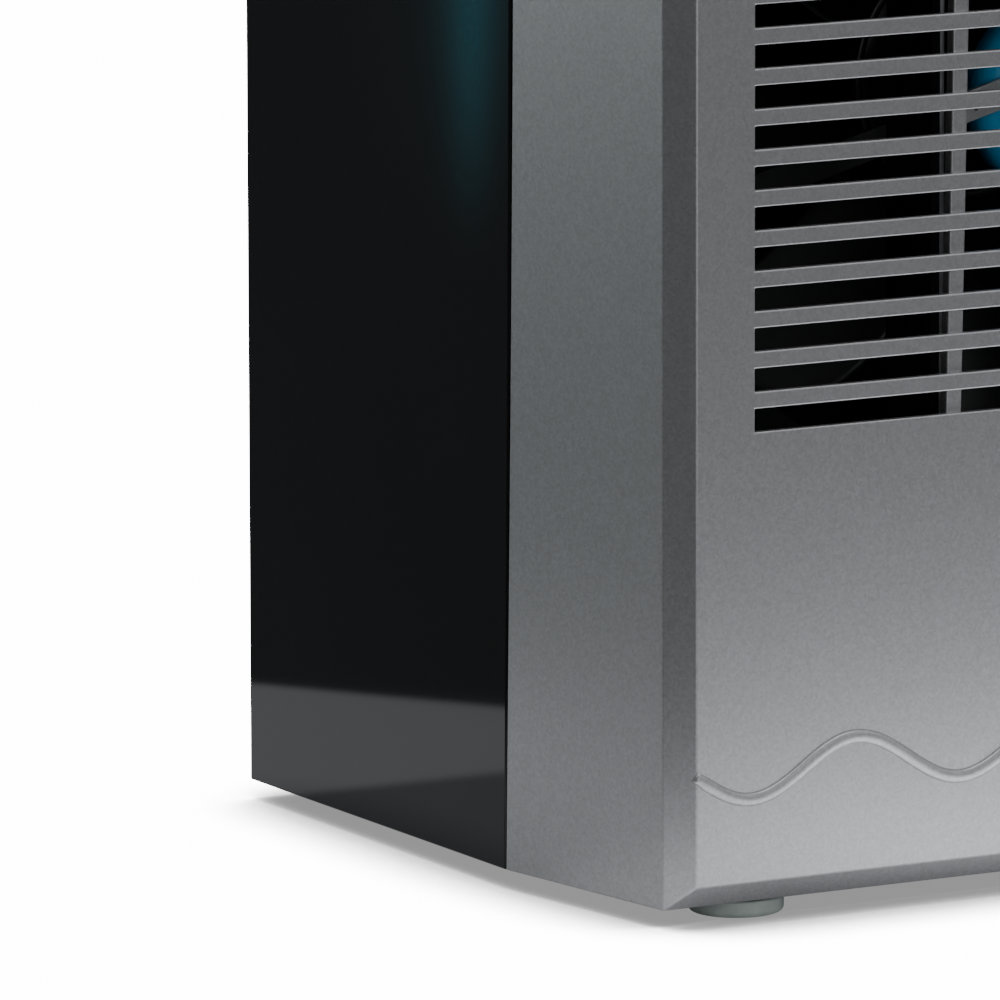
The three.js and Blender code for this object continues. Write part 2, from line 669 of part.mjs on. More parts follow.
function impeller() {
  const rim = 2.5;
  const web = HUB_BACK - rim;
  const bore = SHAFT_RADIUS + GAP;
  const profile = [
    [bore, HUB_FRONT],
    [BEARING_RADIUS, HUB_FRONT],
    [BEARING_RADIUS, web],
    [HUB_RADIUS - rim, web],
    [HUB_RADIUS - rim, HUB_FRONT],
    [HUB_RADIUS, HUB_FRONT],
    [HUB_RADIUS, HUB_BACK - 4],
    [HUB_RADIUS - 4, HUB_BACK],
    [bore, HUB_BACK],
    [bore, HUB_FRONT],
  ];
  const hub = turned("y", profile, [0, 0, 0], 20);
  const ring = cut(
    rod("y", FAN_RADIUS, HUB_FRONT - 20, HUB_BACK + 20, [0, 0, 0], 56),
    rod("y", HUB_RADIUS - rim / 2, HUB_FRONT - 21, HUB_BACK + 21, [0, 0, 0], 20),
  );
  const blades = Array.from({ length: BLADES }, (_, i) => {
    const geometry = bladeGeometry().rotateY((2 * Math.PI * i) / BLADES);
    geometry.translate(0, (HUB_FRONT + HUB_BACK) / 2, 0);
    return solid(geometry).intersect(ring);
  });
  return join(hub, ...blades);
}

// ---- Swing mechanism ----

function vane(x) {
  const nose = PIVOT_Y - VANE_NOSE;
  const tail = PIVOT_Y + VANE_TAIL;
  const half = VANE_SKIN / 2;
  const plan = [
    [x - 0.5 * half, nose],
    [x + 0.5 * half, nose],
    [x + 1.5 * half, nose + 2],
    [x + half, PIVOT_Y + 5],
    [x + 0.4 * half, tail],
    [x - 0.4 * half, tail],
    [x - half, PIVOT_Y + 5],
    [x - 1.5 * half, nose + 2],
  ];
  const blade = prism("z", plan, ARM_Z + SKIN / 2, GRILLE_HIGH + VANE_OVERLAP);
  const arm = box([x - 4, x + 4], [PIVOT_Y - 4, TIE_Y + 4], [ARM_Z, ARM_Z + SKIN]);
  const pivot = [x, PIVOT_Y, 0];
  const foot = rod("z", PIN_RADIUS, LOWER_RAIL_TOP - RAIL_SKIN - 1, ARM_Z + 1, pivot);
  const head = rod("z", PIN_RADIUS, GRILLE_HIGH, UPPER_RAIL_LOW + RAIL_SKIN + 1, pivot);
  const crankPin = rod("z", PIN_RADIUS, TIE_TOP - TIE_SKIN - 1, ARM_Z + 1, [x, TIE_Y, 0]);
  return join(blade, arm, foot, head, crankPin);
}

function vaneRail(low) {
  const half = innerAt(PIVOT_Y - RAIL_WIDTH / 2);
  const deep = [PIVOT_Y - RAIL_WIDTH / 2, PIVOT_Y + RAIL_WIDTH / 2];
  const holes = Array.from({ length: RIBS }, (_, i) =>
    rod("z", PIN_RADIUS + RUN_GAP, low - 1, low + RAIL_SKIN + 1, [ribX(i), PIVOT_Y, 0]),
  );
  return cut(box([-half, half], deep, [low, low + RAIL_SKIN]), ...holes);
}

function tieBar() {
  const low = TIE_TOP - TIE_SKIN;
  const reach = ribX(RIBS - 1) + 6;
  const bar = box([-reach, reach], [TIE_Y - 4, TIE_Y + 4], [low, TIE_TOP]);
  const slotHalf = CRANK_THROW + PIN_RADIUS + RUN_GAP;
  const yoke = box(
    [CRANK_X - PIN_RADIUS - 3, CRANK_X + PIN_RADIUS + 3],
    [CRANK_Y - slotHalf - 2, CRANK_Y + slotHalf + 2],
    [low, TIE_TOP],
  );
  const slot = box(
    [CRANK_X - PIN_RADIUS - RUN_GAP, CRANK_X + PIN_RADIUS + RUN_GAP],
    [CRANK_Y - slotHalf, CRANK_Y + slotHalf],
    [low - 1, TIE_TOP + 1],
  );
  const holes = Array.from({ length: RIBS }, (_, i) =>
    rod("z", PIN_RADIUS + RUN_GAP, low - 1, TIE_TOP + 1, [ribX(i), TIE_Y, 0]),
  );
  return cut(join(bar, yoke), slot, ...holes);
}

const SWING_SHAFT = 2.5;
const CRANK_AT = [CRANK_X, CRANK_Y, 0];

// The crank pin stops just below the tie bar's slot: the linkage is open there.
function crank() {
  const low = CRANK_TOP - CRANK_SKIN;
  const disc = rod("z", CRANK_RADIUS, low, CRANK_TOP, CRANK_AT, 24);
  const pinAt = [CRANK_X, CRANK_Y + CRANK_THROW, 0];
  const pin = rod("z", PIN_RADIUS, CRANK_TOP - 1, TIE_TOP - TIE_SKIN - GAP, pinAt);
  const bore = rod("z", SWING_SHAFT + GAP, low - 1, CRANK_TOP - 1.2, CRANK_AT, 12);
  return cut(join(disc, pin), bore);
}

function swingMotor() {
  const top = SHELF_TOP + GAP + SWING_MOTOR_LENGTH;
  const body = rod("z", SWING_MOTOR_RADIUS, SHELF_TOP + GAP, top, CRANK_AT, 24);
  const shaft = rod("z", SWING_SHAFT, top - 1, CRANK_TOP - 1.5, CRANK_AT, 12);
  return join(body, shaft);
}

function mechanismShelf() {
  const front = PIVOT_Y - 2;
  const half = innerAt(front);
  return box([-half, half], [front, PLATE_FRONT - 12], [SHELF_TOP - SHELF_SKIN, SHELF_TOP]);
}

function runCapacitor() {
  const low = SHELF_TOP + GAP;
  const profile = [[0, low], [11, low], [12, low + 1], [12, low + 34], [0, low + 34]];
  return turned("z", profile, [60, CRANK_Y + 14, 0], 24);
}

// ---- Controls ----

const KNOB_LOW = TOP + KNOB_FLOAT;
const SWITCH_TOP = COVER_LOW - GAP;
const SPINDLE_REACH = 8; // spindle inside its switch

function knob(x) {
  const high = KNOB_LOW + KNOB_HEIGHT;
  const profile = [
    [0, KNOB_LOW],
    [KNOB_RADIUS, KNOB_LOW],
    [KNOB_RADIUS - 1, high - 2.5],
    [KNOB_RADIUS - 2.5, high - 1.5],
    [0, high - 1.5],
  ];
  const at = [x, CONTROL_Y, 0];
  const pointer = box(
    [x - 1.5, x + 1.5],
    [CONTROL_Y - KNOB_RADIUS + 3, CONTROL_Y - 3],
    [high - 3, high],
  );
  const spindle = rod("z", SHAFT_RADIUS, SWITCH_TOP - SPINDLE_REACH, KNOB_LOW + 2, at);
  return join(turned("z", profile, at, 24), pointer, spindle);
}

function rotarySwitch(x, size, height) {
  const half = size / 2;
  const body = box(
    [x - half, x + half],
    [CONTROL_Y - half, CONTROL_Y + half],
    [SWITCH_TOP - height, SWITCH_TOP],
  );
  const low = SWITCH_TOP - SPINDLE_REACH - 1;
  return cut(body, rod("z", SHAFT_RADIUS + RUN_GAP, low, SWITCH_TOP + 1, [x, CONTROL_Y, 0]));
}

const BUTTON_TRAVEL = 2.5;
const PLUNGER = 5;

function swingButton() {
  const high = TOP + BUTTON_HEIGHT;
  const profile = [
    [0, SWITCH_TOP - PLUNGER],
    [2.5, SWITCH_TOP - PLUNGER],
    [2.5, COVER_LOW + BUTTON_TRAVEL],
    [BUTTON_RADIUS, COVER_LOW + BUTTON_TRAVEL],
    [BUTTON_RADIUS, high - 1],
    [BUTTON_RADIUS - 1, high],
    [0, high],
  ];
  return turned("z", profile, [0, CONTROL_Y, 0], 24);
}

function swingSwitch() {
  const body = box([-9, 9], [CONTROL_Y - 7, CONTROL_Y + 7], [SWITCH_TOP - 18, SWITCH_TOP]);
  const low = SWITCH_TOP - PLUNGER - BUTTON_TRAVEL - 1;
  return cut(body, rod("z", 2.5 + RUN_GAP, low, SWITCH_TOP + 1, [0, CONTROL_Y, 0]));
}

function pilotLamp() {
  const profile = [
    [0, SWITCH_TOP - 8],
    [LAMP_RADIUS, SWITCH_TOP - 8],
    [LAMP_RADIUS, TOP],
    [LAMP_RADIUS - 1, TOP + 1],
    [0, TOP + 1],
  ];
  return turned("z", profile, [LAMP_X, CONTROL_Y, 0], 16);
}

// ---- Every piece ----

add("front_panel", frontPanel(), SILVER);
add("left_side_panel", sidePanel(-1), GLOSS_BLACK);
add("right_side_panel", sidePanel(1), GLOSS_BLACK);
add("top_cover", topCover(), GLOSS_BLACK);
add("base_tray", baseTray(), MATTE_BLACK);
add("left_rail", sideRail(-1), GALVANISED);
add("right_rail", sideRail(1), GALVANISED);
for (const [name, place] of Object.entries(FEET)) {
  add(`foot_${name}`, foot(place), RUBBER);
  add(`foot_screw_${name}`, footScrew(place), STEEL);
}

add("rear_grille", rearGrille(), MATTE_BLACK);
add("dust_filter", dustFilter(), FOAM);
add("rear_upper_panel", rearUpperPanel(), MATTE_BLACK);
add("rear_lower_panel", rearLowerPanel(), MATTE_BLACK);
add("inlet_socket", inletSocket(), MATTE_BLACK);
add("inlet_pin_left", inletPinBox(-5, 0, INLET_BACK - 6), BRASS);
add("inlet_pin_right", inletPinBox(5, 0, INLET_BACK - 6), BRASS);
add("rear_screw_left", rearScrew(-REAR_SCREW_X), STEEL);
add("rear_screw_right", rearScrew(REAR_SCREW_X), STEEL);

FANS.forEach((name, i) => {
  const hub = [0, 0, hubZ(i)];
  add(`fan_plate_${name}`, fanPlate(i), MATTE_BLACK);
  add(`motor_strap_${name}`, strap(), GALVANISED, tilt, hub);
  add(`strap_screw_${name}`, strapScrew(), STEEL, tilt, hub);
  add(`fan_motor_${name}`, motor(), TURQUOISE, tilt, hub);
  add(`motor_shaft_${name}`, motorShaft(), STEEL, 0, hub);
  add(`impeller_${name}`, impeller(), MATTE_BLACK, 0, hub);
});

["left", "middle", "right"].forEach((name, i) => {
  add(`swing_vane_${name}`, vane(ribX(i)), MATTE_BLACK);
});
add("vane_tie_bar", tieBar(), MATTE_BLACK);
add("lower_vane_rail", vaneRail(LOWER_RAIL_TOP - RAIL_SKIN), MATTE_BLACK);
add("upper_vane_rail", vaneRail(UPPER_RAIL_LOW), MATTE_BLACK);
add("mechanism_shelf", mechanismShelf(), GALVANISED);
add("swing_motor", swingMotor(), STEEL);
add("swing_crank", crank(), MATTE_BLACK);
add("run_capacitor", runCapacitor(), GALVANISED);

add("speed_knob", knob(knobX.speed), GLOSS_BLACK);
add("timer_knob", knob(knobX.timer), GLOSS_BLACK);
add("speed_switch", rotarySwitch(knobX.speed, 34, 24), MATTE_BLACK);
add("timer_unit", rotarySwitch(knobX.timer, 46, 34), MATTE_BLACK);
add("swing_button", swingButton(), GLOSS_BLACK);
add("swing_switch", swingSwitch(), MATTE_BLACK);
add("pilot_lamp", pilotLamp(), LAMP);

export default group;
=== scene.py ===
"""Looks of the tower fan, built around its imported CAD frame. Metres, +Z up, front towards -Y."""
import json
import math
import bmesh
import bpy
from mathutils import Matrix, Vector

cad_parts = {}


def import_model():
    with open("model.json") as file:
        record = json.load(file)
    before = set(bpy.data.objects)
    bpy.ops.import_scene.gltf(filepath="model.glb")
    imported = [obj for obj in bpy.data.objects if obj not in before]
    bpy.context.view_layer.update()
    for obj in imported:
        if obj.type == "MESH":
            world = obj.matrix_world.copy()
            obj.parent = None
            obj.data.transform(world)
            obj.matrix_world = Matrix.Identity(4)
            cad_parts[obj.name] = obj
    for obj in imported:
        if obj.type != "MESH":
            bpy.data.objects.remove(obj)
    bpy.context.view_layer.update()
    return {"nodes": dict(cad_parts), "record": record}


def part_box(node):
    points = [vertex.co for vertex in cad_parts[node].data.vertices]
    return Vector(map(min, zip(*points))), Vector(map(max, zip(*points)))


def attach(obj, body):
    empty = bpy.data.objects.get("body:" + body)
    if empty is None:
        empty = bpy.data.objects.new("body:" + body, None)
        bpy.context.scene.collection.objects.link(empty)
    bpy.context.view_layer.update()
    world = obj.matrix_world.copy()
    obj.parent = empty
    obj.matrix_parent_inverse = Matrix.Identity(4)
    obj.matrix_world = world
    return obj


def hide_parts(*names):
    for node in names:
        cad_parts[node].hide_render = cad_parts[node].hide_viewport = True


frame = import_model()
NODES = frame["nodes"]
MM = 0.001

# ---- Sizes, from the frame where it has them ----

FACE_LOW, FACE_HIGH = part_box("front_panel")
_, SIDE_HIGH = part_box("left_side_panel")
BOTTOM = FACE_LOW.z
TOP = FACE_HIGH.z
HALF_WIDTH = FACE_HIGH.x
REAR = SIDE_HIGH.y
WAVE_RELIEF = 1.0 * MM
FRONT = FACE_LOW.y + WAVE_RELIEF
CHAMFER = 6.1 * MM
TAPER = 8.9 * MM
BAND_DEPTH = FACE_HIGH.y - FRONT
WAIST = 5.0 * MM
SKIN = 3.0 * MM
FRONT_SKIN = 2.2 * MM
SEAM = 0.5 * MM
CORNER = HALF_WIDTH - TAPER
SLOPE = TAPER / (BAND_DEPTH - CHAMFER)
SLOTS = 72
SLOT_PITCH = 10.0 * MM
SLOT_HEIGHT = 5.7 * MM
SLOT_LOW = BOTTOM + 118.8 * MM
GRILLE_HALF = CORNER - CHAMFER - 16.65 * MM
RIB_WIDTH = 4.5 * MM
RIB_DEPTH = 3.0 * MM
RIB_SPREAD = 1.01
RIB_BOW = 3.8 * MM
WAVE_HALF_WIDTH = 1.7 * MM
WAVE_SWING = 6.5 * MM
WAVE_LENGTH = 60.3 * MM
WAVE_LEVEL = BOTTOM + 33.5 * MM
WAVE_CREST = CHAMFER - CORNER + 45.8 * MM
FANS = ("lower", "middle", "upper")


def side_at(y):
    """Outer half width of the front moulding at a depth."""
    return CORNER + (y - FRONT - CHAMFER) * SLOPE


def seam_at(z):
    """Depth at which the front moulding ends: a shallow bow."""
    u = 2 * (z - BOTTOM) / (TOP - BOTTOM) - 1
    return FRONT + BAND_DEPTH - WAIST * (1 - u * u)


# ---- Material tools ----


class Nodes:
    """Short forms for adding nodes to one tree."""

    def __init__(self, tree, coordinates):
        self.tree = tree
        self.coords = tree.nodes.new("ShaderNodeTexCoord").outputs[coordinates]

    def node(self, kind, **settings):
        made = self.tree.nodes.new("ShaderNode" + kind)
        for key, value in settings.items():
            if key in made.inputs:
                made.inputs[key].default_value = value
            else:
                setattr(made, key, value)
        return made

    def link(self, source, target):
        self.tree.links.new(source, target)

    def scaled(self, factors):
        """Object coordinates stretched by three factors."""
        mapping = self.node("Mapping")
        mapping.inputs["Scale"].default_value = factors
        self.link(self.coords, mapping.inputs["Vector"])
        return mapping.outputs["Vector"]

    def noise(self, scale, detail=2.0, roughness=0.5, vector=None):
        made = self.node("TexNoise", Scale=scale, Detail=detail, Roughness=roughness)
        self.link(vector or self.coords, made.inputs["Vector"])
        return made.outputs["Fac"]

    def cells(self, scale, feature="F1", output="Distance"):
        made = self.node("TexVoronoi", Scale=scale, feature=feature)
        self.link(self.coords, made.inputs["Vector"])
        return made.outputs[output]

    def ramp(self, source, stops):
        """A colour or grey ramp; stops are (position, value or colour)."""
        made = self.node("ValToRGB")
        elements = made.color_ramp.elements
        while len(elements) < len(stops):
            elements.new(0.5)
        for element, (position, value) in zip(elements, stops):
            element.position = position
            colour = value if isinstance(value, tuple) else (value, value, value)
            element.color = (*colour, 1)
        self.link(source, made.inputs["Fac"])
        return made.outputs["Color"]

    def remap(self, source, low, high):
        made = self.node("MapRange")
        made.inputs["To Min"].default_value = low
        made.inputs["To Max"].default_value = high
        self.link(source, made.inputs["Value"])
        return made.outputs["Result"]


class Shader(Nodes):
    """A node material built around one Principled BSDF."""

    def __init__(self, name, **values):
        self.material = bpy.data.materials.new(name)
        self.material.use_nodes = True
        self.bsdf = self.material.node_tree.nodes["Principled BSDF"]
        for key, value in values.items():
            self.bsdf.inputs[key.replace("_", " ")].default_value = value
        super().__init__(self.material.node_tree, "Object")

    def colour(self, source):
        self.link(source, self.bsdf.inputs["Base Color"])

    def rough(self, source, low, high):
        self.link(self.remap(source, low, high), self.bsdf.inputs["Roughness"])

    def bump(self, source, distance, strength=1.0, below=None):
        made = self.node("Bump", Strength=strength, Distance=distance)
        self.link(source, made.inputs["Height"])
        if below is not None:
            self.link(below, made.inputs["Normal"])
        self.link(made.outputs["Normal"], self.bsdf.inputs["Normal"])
        return made.outputs["Normal"]


def silver_paint():
    """Metallic paint on plastic: fine flake, slight orange peel."""
    s = Shader("silver_paint", Metallic=0.82, Roughness=0.4)
    flake = s.cells(1500, output="Color")
    flake_grey = s.node("RGBToBW")
    s.link(flake, flake_grey.inputs["Color"])
    grain = s.noise(700, 3, 0.6)
    mixed = s.node("Mix", data_type="FLOAT")
    mixed.inputs["Factor"].default_value = 0.5
    s.link(flake_grey.outputs["Val"], mixed.inputs["A"])
    s.link(grain, mixed.inputs["B"])
    value = mixed.outputs["Result"]
    s.colour(s.ramp(value, [(0.25, (0.475, 0.470, 0.480)), (0.75, (0.580, 0.575, 0.590))]))
    s.rough(grain, 0.34, 0.46)
    s.bump(value, 0.02 * MM, 0.5, s.bump(s.noise(160, 2), 0.02 * MM, 0.4))
    s.bsdf.inputs["Coat Weight"].default_value = 0.12
    s.bsdf.inputs["Coat Roughness"].default_value = 0.25
    return s.material


def gloss_black():
    """High-gloss moulding with the slight waves of a large flat panel."""
    s = Shader("gloss_black", Roughness=0.05, IOR=1.5)
    s.colour(s.ramp(s.noise(5, 2), [(0.3, (0.0035, 0.0035, 0.004)), (0.7, (0.006, 0.006, 0.0065))]))
    s.rough(s.noise(900, 3), 0.035, 0.075)
    s.bump(s.noise(7, 1.5), 0.5 * MM, 0.10)
    return s.material


def matte_black():
    """Spark-eroded black plastic."""
    s = Shader("matte_black", Roughness=0.6, IOR=1.46)
    grain = s.noise(1800, 3, 0.7)
    s.colour(s.ramp(s.noise(14, 3), [(0.3, (0.004, 0.004, 0.0045)), (0.7, (0.008, 0.008, 0.009))]))
    s.rough(grain, 0.52, 0.68)
    s.bump(grain, 0.05 * MM, 0.6)
    return s.material


def rear_black():
    """Coarser black plastic of the rear panels, a little greyer than the inner pieces."""
    s = Shader("rear_black", Roughness=0.5, IOR=1.48)
    grain = s.noise(1300, 3, 0.7)
    s.colour(s.ramp(s.noise(9, 3), [(0.3, (0.014, 0.014, 0.015)), (0.7, (0.020, 0.020, 0.021))]))
    s.rough(grain, 0.40, 0.58)
    s.bump(grain, 0.06 * MM, 0.6)
    return s.material


def filter_foam():
    """Open-cell black foam."""
    s = Shader("filter_foam", Roughness=0.95, IOR=1.4)
    pores = s.cells(900)
    s.colour(s.ramp(pores, [(0.1, (0.002, 0.002, 0.002)), (0.6, (0.009, 0.009, 0.0095))]))
    s.rough(pores, 0.85, 1.0)
    s.bump(pores, 0.4 * MM, 1.0)
    s.bsdf.inputs["Specular IOR Level"].default_value = 0.2
    return s.material


def satin_black():
    """Smooth satin plastic of the knobs' sides, vanes and blades."""
    s = Shader("satin_black", Roughness=0.35, IOR=1.48)
    s.colour(s.ramp(s.noise(20, 2), [(0.3, (0.006, 0.006, 0.007)), (0.7, (0.011, 0.011, 0.012))]))
    s.rough(s.noise(500, 2), 0.28, 0.42)
    s.bump(s.noise(900, 2), 0.02 * MM, 0.5)
    return s.material


def nose_highlight():
    """Painted highlight: grey on the front-facing faces of a vane's leading edge, standing in for the light
    its rounded nose catches.
    """
    s = Shader("nose_highlight", Roughness=0.55, IOR=1.48)
    s.colour(s.ramp(s.noise(260, 3), [(0.3, (0.26, 0.26, 0.27)), (0.7, (0.40, 0.40, 0.41))]))
    s.rough(s.noise(500, 2), 0.45, 0.65)
    s.bump(s.noise(700, 2), 0.04 * MM, 0.5)
    return s.material


def turquoise_enamel():
    """Thick sprayed enamel on the motor cans."""
    s = Shader("turquoise_enamel", Roughness=0.35, IOR=1.5)
    s.colour(s.ramp(s.noise(30, 3), [(0.3, (0.01, 0.46, 0.95)), (0.7, (0.02, 0.56, 1.0))]))
    s.rough(s.noise(300, 2), 0.28, 0.42)
    s.bump(s.noise(420, 2), 0.08 * MM, 0.5)
    return s.material


def galvanised():
    """Zinc-plated sheet with a faint spangle."""
    s = Shader("galvanised", Metallic=0.55, Roughness=0.42)
    s.colour(s.ramp(s.cells(260, output="Color"), [(0.2, (0.64, 0.65, 0.66)), (0.8, (0.78, 0.79, 0.80))]))
    s.rough(s.noise(120, 3), 0.34, 0.52)
    s.bump(s.noise(600, 2), 0.02 * MM, 0.5)
    return s.material


def bright_steel():
    """Turned and rolled steel with fine marks along one way."""
    s = Shader("bright_steel", Metallic=1.0, Roughness=0.25)
    fine = s.noise(1.0, 3, 0.6, s.scaled((2500, 200, 2500)))
    s.colour(s.ramp(fine, [(0.2, (0.55, 0.55, 0.56)), (0.8, (0.70, 0.70, 0.71))]))
    s.rough(fine, 0.18, 0.36)
    s.bump(fine, 0.01 * MM, 0.4)
    return s.material


def contact_brass():
    s = Shader("contact_brass", Metallic=1.0, Roughness=0.3)
    fine = s.noise(1200, 3)
    s.colour(s.ramp(fine, [(0.2, (0.62, 0.46, 0.20)), (0.8, (0.80, 0.62, 0.30))]))
    s.rough(fine, 0.22, 0.42)
    return s.material


def foot_rubber():
    """Light grey-green rubber with a dusty bloom."""
    s = Shader("foot_rubber", Roughness=0.75, IOR=1.5)
    s.colour(s.ramp(s.noise(220, 4, 0.6), [(0.3, (0.50, 0.57, 0.53)), (0.7, (0.62, 0.69, 0.65))]))
    s.rough(s.noise(500, 2), 0.65, 0.85)
    s.bump(s.noise(1300, 3), 0.05 * MM, 0.6)
    return s.material


def amber_lens():
    s = Shader("amber_lens", Roughness=0.12, IOR=1.49, Transmission_Weight=0.6)
    s.colour(s.ramp(s.noise(400, 2), [(0.3, (0.75, 0.22, 0.02)), (0.7, (0.95, 0.34, 0.04))]))
    s.bump(s.noise(900, 1), 0.02 * MM, 0.3)
    return s.material


def dial_print():
    s = Shader("dial_print", Roughness=0.5)
    s.colour(s.ramp(s.noise(900, 2), [(0.3, (0.55, 0.56, 0.57)), (0.7, (0.66, 0.67, 0.68))]))
    return s.material


SILVER = silver_paint()
GLOSS = gloss_black()
MATTE = matte_black()
SATIN = satin_black()
REAR_BLACK = rear_black()
FOAM = filter_foam()
NOSE_HIGHLIGHT = nose_highlight()
TURQUOISE = turquoise_enamel()
ZINC = galvanised()
STEEL = bright_steel()
BRASS = contact_brass()
RUBBER = foot_rubber()
AMBER = amber_lens()
PRINT = dial_print()

# ---- Mesh tools ----


def shade_smooth(obj, smooth=True):
    for polygon in obj.data.polygons:
        polygon.use_smooth = smooth
    return obj


def smooth_edges(obj, width, segments=3, angle=30):
    """Rounds the sharp edges and keeps the flats flat."""
    made = obj.modifiers.new("round", "BEVEL")
    made.width = width
    made.segments = segments
    made.limit_method = "ANGLE"
    made.angle_limit = math.radians(angle)
    made.harden_normals = True
    made.use_clamp_overlap = True
    return obj


def finish_piece(obj, body, material, replaced=(), width=0.0, segments=3, smooth=True):
    """Material, shading and body of one piece. No material keeps those it has."""
    if material:
        obj.data.materials.clear()
        obj.data.materials.append(material)
    shade_smooth(obj, smooth)
    if width:
        smooth_edges(obj, width, segments)
    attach(obj, body)
    if replaced:
        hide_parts(*replaced)
    return obj


def mesh_object(name, vertices, faces):
    mesh = bpy.data.meshes.new(name)
    mesh.from_pydata([tuple(v) for v in vertices], [], faces)
    mesh.validate()
    mesh.update()
    obj = bpy.data.objects.new(name, mesh)
    bpy.context.collection.objects.link(obj)
    return obj


class Builder:
    """Collects vertices by place, so that neighbouring faces share them."""

    def __init__(self):
        self.index = {}
        self.vertices = []
        self.faces = []

    def vertex(self, point):
        key = tuple(round(c * 1e6) for c in point)
        if key not in self.index:
            self.index[key] = len(self.vertices)
            self.vertices.append(point)
        return self.index[key]

    def face(self, *points):
        loop = []
        for point in points:
            i = self.vertex(point)
            if i not in loop:
                loop.append(i)
        if len(loop) > 2:
            self.faces.append(loop)

    def box(self, low, high):
        (x0, y0, z0), (x1, y1, z1) = low, high
        a, b, c, d = (x0, y0, z0), (x1, y0, z0), (x1, y1, z0), (x0, y1, z0)
        e, f, g, h = (x0, y0, z1), (x1, y0, z1), (x1, y1, z1), (x0, y1, z1)
        start = len(self.vertices)
        self.vertices.extend([a, b, c, d, e, f, g, h])
        for loop in ((3, 2, 1, 0), (4, 5, 6, 7), (0, 1, 5, 4), (1, 2, 6, 5), (2, 3, 7, 6), (3, 0, 4, 7)):
            self.faces.append([start + i for i in loop])

    def sweep(self, rings):
        """A closed body through rings of matching points."""
        count = len(rings[0])
        for first, second in zip(rings, rings[1:]):
            for k in range(count):
                n = (k + 1) % count
                self.face(first[k], first[n], second[n], second[k])
        self.face(*rings[0])
        self.face(*reversed(rings[-1]))

    def make(self, name):
        obj = mesh_object(name, self.vertices, self.faces)
        bm = bmesh.new()
        bm.from_mesh(obj.data)
        bmesh.ops.recalc_face_normals(bm, faces=bm.faces)
        bm.to_mesh(obj.data)
        bm.free()
        return obj


def lathe(name, profile, centre, axis="Z", segments=64):
    """A closed profile of (radius, distance) turned about an axis through centre."""
    builder = Builder()
    turn = {
        "Z": lambda r, a, d: (r * math.cos(a), r * math.sin(a), d),
        "Y": lambda r, a, d: (r * math.sin(a), d, r * math.cos(a)),
    }[axis]
    centre = Vector(centre)

    def point(i, k):
        r, d = profile[k % len(profile)]
        return tuple(centre + Vector(turn(r, 2 * math.pi * (i % segments) / segments, d)))

    for i in range(segments):
        for k in range(len(profile) - 1):
            builder.face(point(i, k), point(i + 1, k), point(i + 1, k + 1), point(i, k + 1))
    return builder.make(name)


def arc(centre, radius, start, end, steps=5):
    """Points of an arc in (radius, distance) space; angles in degrees."""
    cr, cd = centre
    return [
        (cr + radius * math.cos(math.radians(a)), cd + radius * math.sin(math.radians(a)))
        for a in (start + (end - start) * i / steps for i in range(steps + 1))
    ]


def join(first, *others):
    """Joins pieces of one object; their modifiers are applied first."""
    everything = [first, *others]
    for obj in everything:
        graph = bpy.context.evaluated_depsgraph_get()
        mesh = bpy.data.meshes.new_from_object(obj.evaluated_get(graph))
        obj.modifiers.clear()
        obj.data = mesh
    with bpy.context.temp_override(
        active_object=first, selected_editable_objects=everything, selected_objects=everything
    ):
        bpy.ops.object.join()
    return first


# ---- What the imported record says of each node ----

BODY_OF = {node: body for body, nodes in frame["record"]["behaviour"]["bodies"].items() for node in nodes}


def piece(obj, node, material, width=0.0, segments=3, smooth=True):
    """obj stands for one CAD node and takes its body."""
    return finish_piece(obj, BODY_OF[node], material, (node,), width, segments, smooth)


def refined(node, material, width, segments=3, angle=40):
    """A finer copy of a CAD node: its flats as single faces and its edges rounded."""
    mesh = NODES[node].data.copy()
    bm = bmesh.new()
    bm.from_mesh(mesh)
    bmesh.ops.remove_doubles(bm, verts=bm.verts, dist=1e-6)
    bmesh.ops.dissolve_limit(bm, angle_limit=math.radians(0.5), verts=bm.verts, edges=bm.edges)
    bm.to_mesh(mesh)
    bm.free()
    for layer in list(mesh.uv_layers):
        mesh.uv_layers.remove(layer)
    if mesh.has_custom_normals:
        mesh.attributes.remove(mesh.attributes["custom_normal"])
    obj = bpy.data.objects.new("fine_" + node, mesh)
    bpy.context.collection.objects.link(obj)
    made = piece(obj, node, material, width, segments)
    made.modifiers["round"].angle_limit = math.radians(angle)
    return made


def repaint(obj, material, chosen):
    """A second material on the chosen faces."""
    obj.data.materials.append(material)
    for polygon in obj.data.polygons:
        if chosen(polygon):
            polygon.material_index = len(obj.data.materials) - 1


# ---- Front moulding ----


def shell_rows(wall, face_wall):
    """Plan points of the tray from left seam to right seam, at a height."""
    slant = wall * math.hypot(1, SLOPE)
    bend = FRONT + CHAMFER + wall * (math.sqrt(2) - 1)
    rise = CHAMFER + wall * math.sqrt(2) - face_wall
    face = FRONT + face_wall

    def row(z):
        seam = seam_at(z)
        half = [
            (side_at(seam) - slant, seam),
            (side_at(bend) - slant, bend),
            (CORNER - rise, face),
            (GRILLE_HALF, face),
        ]
        return [(-x, y) for x, y in half] + [(x, y) for x, y in reversed(half)]

    return row, rise, face


